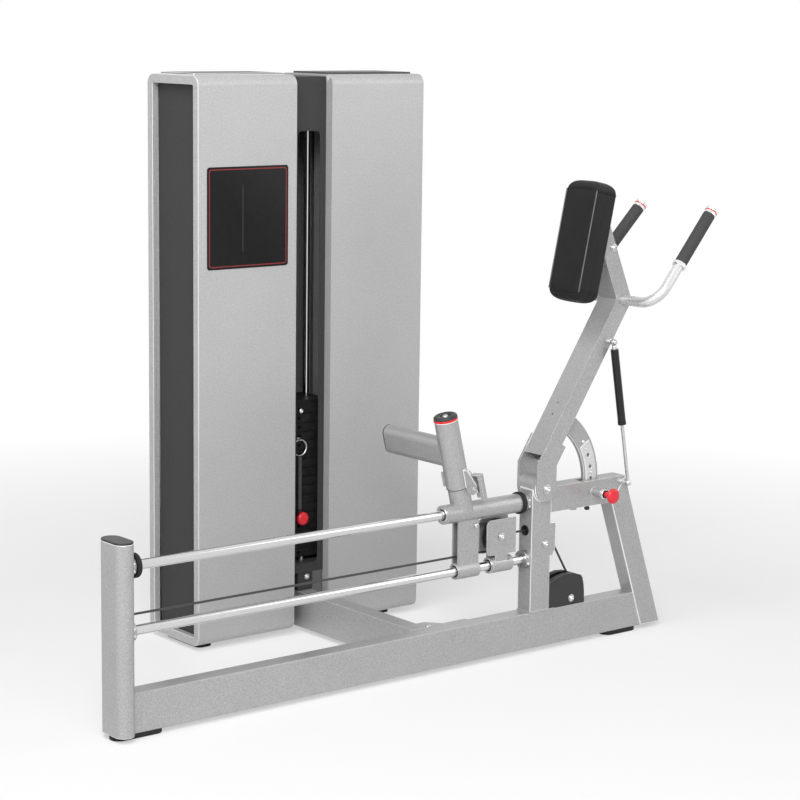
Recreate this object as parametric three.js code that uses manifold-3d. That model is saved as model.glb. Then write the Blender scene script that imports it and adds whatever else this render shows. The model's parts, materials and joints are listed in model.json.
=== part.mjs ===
// A standing glute machine for a gym: a chest pad to lean on, a foot bar on a carriage
// that slides along two chromed rods, and a weight stack in a two-shroud tower.
// Millimetres. +Z is up, +X runs from the front post to the rear leg, +Y to the tower.
// X = 0 and Y = 0 lie on the front post's axis, Z = 0 is the floor.

import * as THREE from 'three';
import { mergeVertices } from 'three/addons/utils/BufferGeometryUtils.js';
import Module from 'manifold-3d';

const wasm = await Module();
wasm.setup();

// Shared values.
const SEAT_GAP = 0.3;
const RUN_GAP = 0.5;
const WELD = 0.5;
const OVERRUN = 5;
const ROUND_SIDES = 24;
const MID_SIDES = 16;
const SMALL_SIDES = 8;
const CORNER_STEPS = 4;
const FULL_TURN = Math.PI * 2;
const HALF_TURN = Math.PI;
const QUARTER_TURN = Math.PI / 2;
const degrees = (angle) => (angle * Math.PI) / 180;

// Frame tubes
const TUBE_WALL = 3;
const TUBE_WIDTH = 50;
const FOOT_HEIGHT = 12;
const BEAM_HEIGHT = 100;
const BEAM_BOTTOM = FOOT_HEIGHT + SEAT_GAP;
const BEAM_TOP = BEAM_BOTTOM + BEAM_HEIGHT;
const SIDE_Y = TUBE_WIDTH / 2;

// Front post, a flat-oval tube with its long axis across the beam
const POST_LENGTH_X = 50;
const POST_WIDTH_Y = 100;
const POST_TOP = 478;
const POST_CAP_HEIGHT = 5;
const POST_CAP_PLUG = 18;
const POST_REAR = POST_LENGTH_X / 2;
const FOOT_INSET = 3;
const FRONT_FOOT_REACH = 117;

// Rods that carry the carriage
const ROD_RADIUS = 12.5;
const UPPER_ROD_Z = 414.8;
const LOWER_ROD_Z = 257.4;
const COLLAR_RADIUS = 24.5;
const COLLAR_WIDTH = 14;
const COLLAR_SLIT = 3;
const BUMPER_RADIUS = 30;
const BUMPER_WIDTH = 12;

// Upright, top tube and rear leg
const UPRIGHT_X = 1315;
const UPRIGHT_LENGTH_X = 70;
const UPRIGHT_FRONT = UPRIGHT_X - UPRIGHT_LENGTH_X / 2;
const UPRIGHT_REAR = UPRIGHT_X + UPRIGHT_LENGTH_X / 2;
const PIVOT_OFFSET = 3;
const PIVOT_X = UPRIGHT_X + PIVOT_OFFSET;
const PIVOT_Z = 451;
const HUB_RADIUS = 35;
const PIVOT_BOLT_RADIUS = 10;
const CABLE_HOLE_RADIUS = 13;
const TOP_TUBE_DEPTH = 70;
const TOP_TUBE_TOP = 451;
const TOP_TUBE_BOTTOM = TOP_TUBE_TOP - TOP_TUBE_DEPTH;
const LEG_DEPTH = 70;
const LEG_TILT = degrees(18.95);
const LEG_REACH = 388;
const LEG_FOOT_X = UPRIGHT_X + LEG_REACH;
const REAR_FOOT_LENGTH = 120;
const REAR_FOOT_SETBACK = 131;
const REAR_FOOT_START = LEG_FOOT_X - REAR_FOOT_SETBACK;

// Pulleys and cables
const PULLEY_RADIUS = 45;
const CABLE_TRACK_RADIUS = 39;
const CABLE_RADIUS = 3;
const PULLEY_WIDTH = 16;
const PULLEY_SIDES = 20;
const GROOVE_FLOOR_RADIUS = CABLE_TRACK_RADIUS - CABLE_RADIUS - 2 * RUN_GAP;
const GROOVE_FLOOR_HALF = 3.8;
const GROOVE_RIM_HALF = 6.4;
const AXLE_RADIUS = 6;
const AXLE_HEAD_RADIUS = 8.5;
const AXLE_HEAD_HEIGHT = 3;
const AXLE_HOLE_RADIUS = (AXLE_RADIUS + SEAT_GAP) / Math.cos(HALF_TURN / SMALL_SIDES);

const UPRIGHT_PULLEY_OFFSET = 15;
const UPRIGHT_PULLEY_X = UPRIGHT_X + UPRIGHT_PULLEY_OFFSET;
const UPRIGHT_PULLEY_Z = 297;
const MAIN_CABLE_Z = UPRIGHT_PULLEY_Z + CABLE_TRACK_RADIUS;
const EAR_THICKNESS = 6;
const EAR_REACH = 19;
const EAR_ABOVE = 56;
const EAR_BELOW = 37;
const EAR_CHAMFER = 20;

const BASE_PULLEY_OFFSET = 115;
const BASE_PULLEY_X = UPRIGHT_X + BASE_PULLEY_OFFSET;
const BASE_PULLEY_Z = 132;
const COVER_LENGTH = 131;
const COVER_HEIGHT = 78;
const COVER_CROWN = 13;
const COVER_WALL = 3;
const COVER_SLOT_HALF = 10;

// Cross member that carries the tower
const TOWER_CENTRE_X = 938.4;
const CROSS_FLANGE_THICKNESS = 12;
const CROSS_FLANGE_FRONT = 58;
const CROSS_FLANGE_REAR = 167;
const GUSSET_THICKNESS = 3;
const GUSSET_REACH_X = 92;
const GUSSET_REACH_Y = 66;
const BEAM_CABLE_Z = BASE_PULLEY_Z - CABLE_TRACK_RADIUS;
const TURN_PULLEY_X = TOWER_CENTRE_X + CABLE_TRACK_RADIUS;
const TURN_PULLEY_Y = CABLE_TRACK_RADIUS;

// Tower
const SHROUD_FRONT = 499.8;
const SHROUD_DEPTH = 241.4;
const SHROUD_REAR = SHROUD_FRONT + SHROUD_DEPTH;
const SHROUD_LENGTH = 317.5;
const SHROUD_GAP = 117.2;
const SHROUD_BOTTOM = 14;
const SHROUD_TOP = 1536.6;
const SHROUD_CORNER = 27;
const SHROUD_WALL = 3;
const RIM_WIDTH = 24;
const PANEL_RECESS = 19;
const PANEL_LAP = 8;
const LIP_WIDTH = 30;
const LID_HEIGHT = 5;
const LID_INSET = 15;
const COVER_RECESS = 27;
const COVER_BOTTOM = 164;
const SLOT_BOTTOM = 186;
const SLOT_TOP_DROP = 147.6;
const SLOT_TOP = SHROUD_TOP - SLOT_TOP_DROP;
const SLOT_WIDTH = 81;
const SLOT_CORNER = 12;
const TOWER_FOOT_LENGTH = 50;
const TOWER_FOOT_LEFT_INSET = 24;
const TOWER_FOOT_RIGHT_INSET = 64;
const TOWER_FOOT_FRONT = 40;
const SHROUD_LEFT_END = TOWER_CENTRE_X - SHROUD_GAP / 2 - SHROUD_LENGTH;
const SHROUD_RIGHT_START = TOWER_CENTRE_X + SHROUD_GAP / 2;

// Weight stack and its guides
const STACK_Y = 622;
const STACK_LENGTH_X = 200;
const STACK_DEPTH_Y = 120;
const STACK_SIDE_GAP = 8;
const PLATE_PITCH = 25.4;
const PLATE_GROOVE = 1.6;
const GROOVE_DEPTH = 3;
const RESTING_PLATE_COUNT = 4;
const LIFTED_PLATE_COUNT = 13;
const HEAD_PLATE_HEIGHT = 12;
const STACK_BOTTOM = 200;
const GUIDE_ROD_SPREAD = 67;
const GUIDE_ROD_RADIUS = 10;
const STEM_RADIUS = 8;
const STEM_TAIL_LENGTH = 90;
const STEM_HEAD_HEIGHT = 28;
const PIN_HOLE_RADIUS = 5.5;
const PIN_HOLE_DEPTH = 50;
const PIN_RADIUS = 4.5;
const PIN_KNOB_RADIUS = 19;
const PIN_KNOB_LENGTH = 15;
const PIN_STANDOFF = 12;
const PIN_REACH = 42;
const STACK_BASE_THICKNESS = 8;
const STACK_BUMPER_HEIGHT = 11;
const STACK_BUMPER_RADIUS = 20;
const PEDESTAL_DEPTH = 26;
const RISE_Y = STACK_Y + 2 * CABLE_TRACK_RADIUS;
const LIFT_PULLEY_Y = STACK_Y + CABLE_TRACK_RADIUS;
const STACK_PULLEY_Z = BEAM_CABLE_Z + CABLE_TRACK_RADIUS;
const TOP_PULLEY_DROP = 144.6;
const TOP_PULLEY_Z = SHROUD_TOP - TOP_PULLEY_DROP;
const TOWER_TUBE = 50;
const TOWER_HEAD_DROP = 89.6;
const TOWER_HEAD_Z = SHROUD_TOP - TOWER_HEAD_DROP;
const TOWER_SILL_END = 16;
const FORK_GAP_HALF = 11;
const FORK_PLATE = 4;
const FORK_REACH = 32;

// Carriage
const UPPER_SLEEVE_SETBACK = 292;
const UPPER_SLEEVE_START = UPRIGHT_FRONT - UPPER_SLEEVE_SETBACK;
const UPPER_SLEEVE_LENGTH = 259;
const UPPER_SLEEVE_RADIUS = 25.5;
const UPPER_LINER_RADIUS = 19.5;
const LOWER_SLEEVE_SETBACK = 247;
const LOWER_SLEEVE_START = UPRIGHT_FRONT - LOWER_SLEEVE_SETBACK;
const LOWER_SLEEVE_LENGTH = 72;
const LOWER_SLEEVE_RADIUS = 22;
const LOWER_LINER_RADIUS = 17.5;
const BRACKET_SETBACK = 246;
const BRACKET_START = UPRIGHT_FRONT - BRACKET_SETBACK;
const BRACKET_LENGTH = 70;
const BRACKET_GAP_HALF = 8;
const BRACKET_PLATE = 5;
const ANCHOR_RADIUS = 5;
const ANCHOR_INSET = 9;
const CARRIAGE_BUMPER_RADIUS = 30;
const CARRIAGE_BUMPER_LENGTH = 14;

// Swivel column that carries the foot bar, leaning over the carriage
const SWIVEL_SETBACK = 221.7;
const SWIVEL_X = UPRIGHT_FRONT - SWIVEL_SETBACK;
const SWIVEL_TILT = degrees(14.16);
const STUB_RADIUS = 29;
const STUB_HEIGHT = 72;
const SPINDLE_RADIUS = 24;
const SPINDLE_BORE = 19;
const SPINDLE_TOP = 238;
const SWIVEL_RADIUS = 31.3;
const SWIVEL_TOP = 259;
const SWIVEL_CAP_HEIGHT = 13;
const SWIVEL_CAP_PLUG = 14;
const FOOT_BAR_HEIGHT = 80;
const FOOT_BAR_WIDTH = 42;
const FOOT_BAR_CENTRE = 165;
const FOOT_BAR_END = 256;
const FOOT_BAR_WALL = 3;
const FOOT_CAP_THICKNESS = 4;
const FOOT_CAP_PLUG = 16;

// Release lever on the swivel column
const LEVER_AZIMUTH = degrees(-72);
const LEVER_PIVOT_OUT = 56;
const LEVER_PIVOT_UP = 72;
const LEVER_INNER_REACH = 50;
const LEVER_OUTER_REACH = 79;
const LEVER_HEAD_REACH = 55;
const LEVER_BOTTOM_HEIGHT = 41;
const LEVER_TOP_HEIGHT = 110;
const LEVER_WIDTH = 16;
const LEVER_WALL = 3;
const LEVER_FACE_THICKNESS = 9;
const LEVER_PIN_RADIUS = 4;
const HORN_THICKNESS = 12;
const HORN_ROOT_TOP_HEIGHT = 122;
const HORN_BROW_REACH = 43;
const HORN_NOSE_REACH = 62;
const HORN_NOSE_TOP_HEIGHT = 84;
const HORN_NOSE_BOTTOM_HEIGHT = 61;
const HORN_CHIN_REACH = 46;
const HORN_CHIN_HEIGHT = 51;
const HORN_ROOT_BOTTOM_HEIGHT = 60;

// Trolley that carries the moving pulley
const TROLLEY_SETBACK = 151;
const TROLLEY_START = UPRIGHT_FRONT - TROLLEY_SETBACK;
const TROLLEY_LENGTH = 101;
const TROLLEY_PLATE = 5;
const TROLLEY_GAP_HALF = 14;
const TROLLEY_TOP = 383;
const TROLLEY_CORNER = 14;
const TROLLEY_SLEEVE_SETBACK = 131;
const TROLLEY_SLEEVE_START = UPRIGHT_FRONT - TROLLEY_SLEEVE_SETBACK;
const TROLLEY_SLEEVE_LENGTH = 73;
const TROLLEY_TAB_SETBACK = 121;
const TROLLEY_TAB_START = UPRIGHT_FRONT - TROLLEY_TAB_SETBACK;
const TROLLEY_TAB_LENGTH = 42;
const TROLLEY_LIFT = 8;
const TROLLEY_PULLEY_SETBACK = 102;
const TROLLEY_PULLEY_X = UPRIGHT_FRONT - TROLLEY_PULLEY_SETBACK;
const TROLLEY_WEB = 6;

// Arm that carries the pad and the handles
const ARM_TILT = degrees(33.1);
const ARM_WIDTH = 70;
const ARM_DEPTH = 50;
const ARM_OFFSET = 38.75;
const ARM_START = 70;
const ARM_MITRE = 561;
const PAD_POST_TILT = degrees(-23);
const CLEVIS_RADIUS = 34;
const CLEVIS_THICKNESS = 6;
const CLEVIS_TOP = 126;
const CLEVIS_FRONT_LIP = 2.3;
const CLEVIS_REAR_LIP = 9;
const PIVOT_WASHER_RADIUS = 12.5;
const PIVOT_WASHER_HEIGHT = 3;
const PIVOT_HEAD_RADIUS = 8;
const PIVOT_HEAD_HEIGHT = 7;
const FACE_HOLE_RADIUS = 3;
const FACE_HOLE_UP = 190;
const FACE_HOLE_SPACING = 35;
const PAD_BOLT_SETBACK = 45.9;
const PAD_BOLT_RISE = 144.4;
const PAD_PLATE_THICKNESS = 5;
const PAD_PLATE_LENGTH = 170;
const PAD_PLATE_WIDTH = 84;

// Chest pad
const PAD_SETBACK = 166.5;
const PAD_RISE = 170.4;
const PAD_TILT = degrees(12.3);
const PAD_WIDTH = 122;
const PAD_THICKNESS = 78;
const PAD_STRAIGHT = 268;
const PAD_DOME = 31;
const PAD_CORNER = 5;
const PAD_CROWN = 3;
const PAD_DOME_TURN_SHARE = 0.93;
const PAD_DRAW_SHARE = 0.55;
const PAD_RING_COUNT = 7;
const PAD_DOME_RING_COUNT = 4;
const PAD_CORNER_STEPS = 3;

// Adjuster quadrant and its pull pin
const QUADRANT_OUTER_RADIUS = 220;
const QUADRANT_WIDTH = 52;
const QUADRANT_INNER_RADIUS = QUADRANT_OUTER_RADIUS - QUADRANT_WIDTH;
const QUADRANT_HOLE_INSET = 27;
const QUADRANT_HOLE_CIRCLE_RADIUS = QUADRANT_OUTER_RADIUS - QUADRANT_HOLE_INSET;
const QUADRANT_THICKNESS = 12;
const QUADRANT_END = degrees(-18.5);
const QUADRANT_STRIP_START = degrees(-17);
const QUADRANT_STRIP_END = degrees(31);
const QUADRANT_STRIP_INSET = 8;
const QUADRANT_STRIP_RISE = 2;
const QUADRANT_STEP = degrees(10.1);
const QUADRANT_REST = degrees(-9.6);
const QUADRANT_HOLE_RADIUS = 5.5;
const QUADRANT_HOLE_COUNT = 4;
const QUADRANT_SLOT_PLAY = 3;
const PULL_PIN_RADIUS = 5;
const PULL_HOUSING_RADIUS = 12.5;
const PULL_HOUSING_LENGTH = 36;
const PULL_STEM_RADIUS = 8;
const PULL_STEM_LENGTH = 33;
const PULL_KNOB_RADIUS = 21;
const PULL_KNOB_LENGTH = 14;
const PULL_KNOB_SHARES = [[0, 0], [0.9, 0], [1, 0.3], [0.93, 0.65], [0.6, 0.92], [0, 1]];
const STOP_RADIUS = 11;
const STOP_HEIGHT = 9;

// Gas spring beside the arm
const GAS_Y = 52;
const GAS_TOP_UP = 440.4;
const GAS_TOP_SETBACK = 22.1;
const GAS_BOTTOM_Z = 436;
const GAS_CYLINDER_RADIUS = 11;
const GAS_CYLINDER_LENGTH = 205;
const GAS_CYLINDER_START = 20;
const GAS_ROD_RADIUS = 5;
const GAS_ROD_HOLD = 40;
const GAS_BORE_FLOOR = 20;
const GAS_EYE_RADIUS = 7;
const GAS_EYE_WIDTH = 12;
const GAS_STUD_RADIUS = 4;

// Handles
const HANDLE_RADIUS = 14;
const HANDLE_WALL = 2.5;
const HANDLE_HALF_WIDTH = 155.8;
const HANDLE_BEND = 55;
const HANDLE_RISE = degrees(47.1);
const HANDLE_TOE_IN = degrees(3.54);
const HANDLE_LENGTH = 333;
const HANDLE_BEND_STEPS = 5;
const HANDLE_SIDES = 12;
const GRIP_RADIUS = 17;
const GRIP_LENGTH = 165;
const GRIP_COLLAR_RADIUS = 19.5;
const GRIP_COLLAR_LENGTH = 9;
const GRIP_CAP_RADIUS = 17;
const GRIP_CAP_LENGTH = 20;
const GRIP_CAP_FLARE = 2;

// Finishes.
const paint = (color, roughness, metalness) =>
  new THREE.MeshStandardMaterial({ color, roughness, metalness });
const SILVER = () => paint(0xb9b9ba, 0.45, 0.35);
const SHROUD_SILVER = () => paint(0xc2c2c3, 0.5, 0.3);
const CHARCOAL = () => paint(0x4a4a4b, 0.6, 0.1);
const BLACK_PLASTIC = () => paint(0x2b2b2c, 0.5, 0.0);
const RUBBER = () => paint(0x262626, 0.85, 0.0);
const CHROME = () => paint(0xe2e2e4, 0.12, 1.0);
const CAST_BLACK = () => paint(0x1f1f20, 0.6, 0.2);
const RED_PLASTIC = () => paint(0xe32732, 0.4, 0.0);
const VINYL = () => paint(0x2a2a2b, 0.55, 0.0);
const GRIP_RUBBER = () => paint(0x505052, 0.75, 0.0);
const CABLE_BLACK = () => paint(0x1b1b1b, 0.5, 0.0);

// Solids.
function toSolid(geometry) {
  const bare = geometry.clone();
  bare.deleteAttribute('normal');
  bare.deleteAttribute('uv');
  const welded = mergeVertices(bare);
  return new wasm.Manifold(
    new wasm.Mesh({
      numProp: 3,
      vertProperties: Float32Array.from(welded.attributes.position.array),
      triVerts: Uint32Array.from(welded.index.array),
    }),
  );
}

function toGeometry(solid) {
  const mesh = solid.getMesh();
  const geometry = new THREE.BufferGeometry();
  geometry.setAttribute('position', new THREE.BufferAttribute(Float32Array.from(mesh.vertProperties), 3));
  geometry.setIndex(Array.from(mesh.triVerts));
  geometry.computeVertexNormals();
  return geometry;
}

const join = (...solids) => solids.reduce((whole, piece) => whole.add(piece));
const cut = (whole, ...tools) => tools.reduce((left, tool) => left.subtract(tool), whole);

function box(x0, x1, y0, y1, z0, z1) {
  const geometry = new THREE.BoxGeometry(x1 - x0, y1 - y0, z1 - z0);
  geometry.translate((x0 + x1) / 2, (y0 + y1) / 2, (z0 + z1) / 2);
  return toSolid(geometry);
}

// A round bar from one point to another.
function bar(start, end, radius, sides = ROUND_SIDES) {
  const from = new THREE.Vector3(...start);
  const to = new THREE.Vector3(...end);
  const along = to.clone().sub(from);
  const geometry = new THREE.CylinderGeometry(radius, radius, along.length(), sides);
  geometry.rotateX(QUARTER_TURN);
  const turn = new THREE.Quaternion().setFromUnitVectors(
    new THREE.Vector3(0, 0, 1),
    along.clone().normalize(),
  );
  geometry.applyQuaternion(turn);
  const middle = from.clone().add(to).divideScalar(2);
  geometry.translate(middle.x, middle.y, middle.z);
  return toSolid(geometry);
}

// A ring from one point to another.
function ring(start, end, outer, inner, sides = ROUND_SIDES) {
  const from = new THREE.Vector3(...start);
  const to = new THREE.Vector3(...end);
  const spare = to.clone().sub(from).normalize().multiplyScalar(OVERRUN);
  const bore = bar(from.clone().sub(spare).toArray(), to.clone().add(spare).toArray(), inner, sides);
  return cut(bar(start, end, outer, sides), bore);
}

// A revolved closed profile of [radius, height] points, its axis along the given direction.
function revolve(profile, origin, direction, sides = ROUND_SIDES) {
  const geometry = new THREE.LatheGeometry(
    profile.map(([radius, height]) => new THREE.Vector2(radius, height)),
    sides,
  );
  const turn = new THREE.Quaternion().setFromUnitVectors(
    new THREE.Vector3(0, 1, 0),
    new THREE.Vector3(...direction).normalize(),
  );
  geometry.applyQuaternion(turn);
  geometry.translate(...origin);
  return toSolid(geometry);
}

function outline(points) {
  const shape = new THREE.Shape();
  points.forEach(([a, b], index) => (index ? shape.lineTo(a, b) : shape.moveTo(a, b)));
  shape.closePath();
  return shape;
}

function roundedOutline(a0, a1, b0, b1, radius) {
  const shape = new THREE.Shape();
  shape.moveTo(a0 + radius, b0);
  shape.lineTo(a1 - radius, b0);
  shape.absarc(a1 - radius, b0 + radius, radius, -QUARTER_TURN, 0, false);
  shape.lineTo(a1, b1 - radius);
  shape.absarc(a1 - radius, b1 - radius, radius, 0, QUARTER_TURN, false);
  shape.lineTo(a0 + radius, b1);
  shape.absarc(a0 + radius, b1 - radius, radius, QUARTER_TURN, HALF_TURN, false);
  shape.lineTo(a0, b0 + radius);
  shape.absarc(a0 + radius, b0 + radius, radius, HALF_TURN, HALF_TURN + QUARTER_TURN, false);
  return shape;
}

function extrude(shape, depth) {
  return new THREE.ExtrudeGeometry(shape, { depth, bevelEnabled: false, curveSegments: CORNER_STEPS });
}

// An outline in X and Z, from y0 to y1.
function extrudeAcrossY(shape, y0, y1) {
  const geometry = extrude(shape, y1 - y0);
  geometry.rotateX(QUARTER_TURN);
  geometry.translate(0, y1, 0);
  return toSolid(geometry);
}

// An outline in Y and Z, from x0 to x1.
function extrudeAlongX(shape, x0, x1) {
  const geometry = extrude(shape, x1 - x0);
  const turn = new THREE.Matrix4().makeBasis(
    new THREE.Vector3(0, 1, 0),
    new THREE.Vector3(0, 0, 1),
    new THREE.Vector3(1, 0, 0),
  );
  geometry.applyMatrix4(turn);
  geometry.translate(x0, 0, 0);
  return toSolid(geometry);
}

// An outline in X and Y, from z0 to z1.
function extrudeUp(shape, z0, z1) {
  const geometry = extrude(shape, z1 - z0);
  geometry.translate(0, 0, z0);
  return toSolid(geometry);
}

// A curve that steps from one chosen point to the next, for sweeping a round section.
class Route extends THREE.Curve {
  constructor(points) {
    super();
    this.points = points;
  }
  getPoint(share, target = new THREE.Vector3()) {
    const place = share * (this.points.length - 1);
    const index = Math.min(Math.floor(place), this.points.length - 2);
    return target.lerpVectors(this.points[index], this.points[index + 1], place - index);
  }
  getPointAt(share, target) {
    return this.getPoint(share, target);
  }
  getTangentAt(share, target = new THREE.Vector3()) {
    const last = this.points.length - 1;
    const index = Math.round(share * last);
    const before = this.points[Math.max(index - 1, 0)];
    const here = this.points[index];
    const after = this.points[Math.min(index + 1, last)];
    const arriving = here.clone().sub(before).normalize();
    const leaving = after.clone().sub(here).normalize();
    return target.copy(arriving).add(leaving).normalize();
  }
}

function sweep(points, outer, inner, sides) {
  const section = new THREE.Shape();
  const rim = (radius, count) =>
    Array.from({ length: count }, (_, step) => {
      const angle = (step / count) * FULL_TURN;
      return new THREE.Vector2(radius * Math.cos(angle), radius * Math.sin(angle));
    });
  section.setFromPoints(rim(outer, sides));
  if (inner > 0) section.holes.push(new THREE.Path(rim(inner, SMALL_SIDES).reverse()));
  return toSolid(
    new THREE.ExtrudeGeometry(section, {
      steps: points.length - 1,
      extrudePath: new Route(points),
      bevelEnabled: false,
    }),
  );
}

// Points of an arc in the plane of two unit directions, from one angle to another.
function arcPoints(centre, radius, first, second, from, to, steps) {
  return Array.from({ length: steps + 1 }, (_, step) => {
    const angle = from + ((to - from) * step) / steps;
    return centre
      .clone()
      .addScaledVector(first, radius * Math.cos(angle))
      .addScaledVector(second, radius * Math.sin(angle));
  });
}

const machine = new THREE.Group();
machine.name = 'glute_machine';
let assembly = machine;
function startAssembly(name) {
  assembly = new THREE.Group();
  assembly.name = name;
  machine.add(assembly);
}
// A mesh about its own middle, placed where the solid stands in its parent.
function add(parent, name, solid, material) {
  const geometry = toGeometry(solid);
  geometry.computeBoundingBox();
  const middle = geometry.boundingBox.getCenter(new THREE.Vector3());
  geometry.translate(-middle.x, -middle.y, -middle.z);
  const mesh = new THREE.Mesh(geometry, material);
  mesh.name = name;
  mesh.position.copy(middle);
  parent.add(mesh);
  return mesh;
}
const put = (name, solid, material) => add(assembly, name, solid, material);

// A rectangular tube along X, open at its ends.
function tubeAlongX(x0, x1, z0, z1) {
  const outer = roundedOutline(-SIDE_Y, SIDE_Y, z0, z1, TUBE_WALL);
  const bore = box(
    x0 - OVERRUN, x1 + OVERRUN,
    -SIDE_Y + TUBE_WALL, SIDE_Y - TUBE_WALL,
    z0 + TUBE_WALL, z1 - TUBE_WALL,
  );
  return cut(extrudeAlongX(outer, x0, x1), bore);
}

// Base frame.
startAssembly('base_frame');
const legRun = Math.tan(LEG_TILT);
const legLengthX = LEG_DEPTH / Math.cos(LEG_TILT);
const legFrontX = (z) => LEG_FOOT_X - (z - BEAM_BOTTOM) * legRun;

{
  const endCut = outline([
    [legFrontX(BEAM_BOTTOM - OVERRUN) - SEAT_GAP, BEAM_BOTTOM - OVERRUN],
    [legFrontX(BEAM_BOTTOM) + legLengthX, BEAM_BOTTOM - OVERRUN],
    [legFrontX(BEAM_BOTTOM) + legLengthX, BEAM_TOP + OVERRUN],
    [legFrontX(BEAM_TOP + OVERRUN) - SEAT_GAP, BEAM_TOP + OVERRUN],
  ]);
  const turnWindow = box(
    TURN_PULLEY_X - PULLEY_RADIUS - OVERRUN, TURN_PULLEY_X + PULLEY_RADIUS + OVERRUN,
    SIDE_Y - TUBE_WALL - OVERRUN, SIDE_Y + OVERRUN,
    BEAM_CABLE_Z - PULLEY_WIDTH, BEAM_CABLE_Z + PULLEY_WIDTH / 2 + 2 * RUN_GAP,
  );
  const pulleySlot = box(
    BASE_PULLEY_X - PULLEY_RADIUS - OVERRUN, BASE_PULLEY_X + PULLEY_RADIUS + 2 * RUN_GAP,
    -COVER_SLOT_HALF, COVER_SLOT_HALF,
    BEAM_TOP - TUBE_WALL - OVERRUN, BEAM_TOP + OVERRUN,
  );
  const beam = cut(
    tubeAlongX(POST_REAR + SEAT_GAP, LEG_FOOT_X, BEAM_BOTTOM, BEAM_TOP),
    extrudeAcrossY(endCut, -SIDE_Y - OVERRUN, SIDE_Y + OVERRUN),
    turnWindow,
    pulleySlot,
  );
  put('base_beam', beam, SILVER());
}

const ovalPost = (inset) =>
  roundedOutline(
    -POST_LENGTH_X / 2 + inset, POST_LENGTH_X / 2 - inset,
    -POST_WIDTH_Y / 2 + inset, POST_WIDTH_Y / 2 - inset,
    POST_LENGTH_X / 2 - inset,
  );
put(
  'front_post',
  cut(
    extrudeUp(ovalPost(0), BEAM_BOTTOM, POST_TOP),
    extrudeUp(ovalPost(TUBE_WALL), BEAM_BOTTOM - OVERRUN, POST_TOP + OVERRUN),
  ),
  SILVER(),
);
put(
  'post_cap',
  join(
    extrudeUp(ovalPost(SEAT_GAP), POST_TOP + SEAT_GAP, POST_TOP + SEAT_GAP + POST_CAP_HEIGHT),
    extrudeUp(ovalPost(TUBE_WALL + SEAT_GAP), POST_TOP - POST_CAP_PLUG, POST_TOP + POST_CAP_HEIGHT / 2),
  ),
  BLACK_PLASTIC(),
);

function footPad(x0, x1) {
  const half = SIDE_Y - FOOT_INSET / 2;
  const pad = extrudeUp(roundedOutline(x0, x1, -half, half, half), 0, FOOT_HEIGHT);
  return pad;
}
put('front_foot', footPad(-POST_REAR + FOOT_INSET, FRONT_FOOT_REACH), RUBBER());
put('rear_foot', footPad(REAR_FOOT_START, REAR_FOOT_START + REAR_FOOT_LENGTH), RUBBER());

// Upright, top tube, leg.
{
  const column = cut(
    box(UPRIGHT_FRONT, UPRIGHT_REAR, -SIDE_Y, SIDE_Y, BEAM_TOP + SEAT_GAP, PIVOT_Z),
    box(
      UPRIGHT_FRONT + TUBE_WALL, UPRIGHT_REAR - TUBE_WALL,
      -SIDE_Y + TUBE_WALL, SIDE_Y - TUBE_WALL,
      BEAM_TOP - OVERRUN, PIVOT_Z - HUB_RADIUS,
    ),
  );
  const ear = outline([
    [UPRIGHT_REAR - TUBE_WALL, UPRIGHT_PULLEY_Z - EAR_BELOW],
    [UPRIGHT_REAR + EAR_REACH - EAR_CHAMFER / 2, UPRIGHT_PULLEY_Z - EAR_BELOW],
    [UPRIGHT_REAR + EAR_REACH, UPRIGHT_PULLEY_Z - EAR_BELOW + EAR_CHAMFER],
    [UPRIGHT_REAR + EAR_REACH, UPRIGHT_PULLEY_Z + EAR_ABOVE],
    [UPRIGHT_REAR - TUBE_WALL, UPRIGHT_PULLEY_Z + EAR_ABOVE],
  ]);
  const hub = bar(
    [PIVOT_X, -ARM_WIDTH / 2 + WELD + SEAT_GAP, PIVOT_Z],
    [PIVOT_X, ARM_WIDTH / 2 - WELD - SEAT_GAP, PIVOT_Z],
    HUB_RADIUS,
  );
  const upright = cut(
    join(
      column,
      extrudeAcrossY(ear, -SIDE_Y, -SIDE_Y + EAR_THICKNESS),
      extrudeAcrossY(ear, SIDE_Y - EAR_THICKNESS, SIDE_Y),
      hub,
    ),
    bar([PIVOT_X, -ARM_WIDTH, PIVOT_Z], [PIVOT_X, ARM_WIDTH, PIVOT_Z], PIVOT_BOLT_RADIUS + SEAT_GAP),
    bar(
      [UPRIGHT_FRONT - OVERRUN, 0, MAIN_CABLE_Z],
      [UPRIGHT_FRONT + TUBE_WALL + OVERRUN, 0, MAIN_CABLE_Z],
      CABLE_HOLE_RADIUS,
    ),
    box(
      UPRIGHT_REAR - TUBE_WALL - OVERRUN, UPRIGHT_REAR + OVERRUN,
      -PULLEY_WIDTH / 2 - 2 * RUN_GAP, PULLEY_WIDTH / 2 + 2 * RUN_GAP,
      UPRIGHT_PULLEY_Z - PULLEY_RADIUS - OVERRUN, UPRIGHT_PULLEY_Z + PULLEY_RADIUS + OVERRUN,
    ),
    bar(
      [UPRIGHT_PULLEY_X, -TUBE_WIDTH, UPRIGHT_PULLEY_Z],
      [UPRIGHT_PULLEY_X, TUBE_WIDTH, UPRIGHT_PULLEY_Z],
      AXLE_HOLE_RADIUS,
      SMALL_SIDES,
    ),
  );
  put('upright', upright, SILVER());
}

const quadrantPoint = (radius, angle) => [
  PIVOT_X + radius * Math.cos(angle),
  PIVOT_Z + radius * Math.sin(angle),
];
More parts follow.
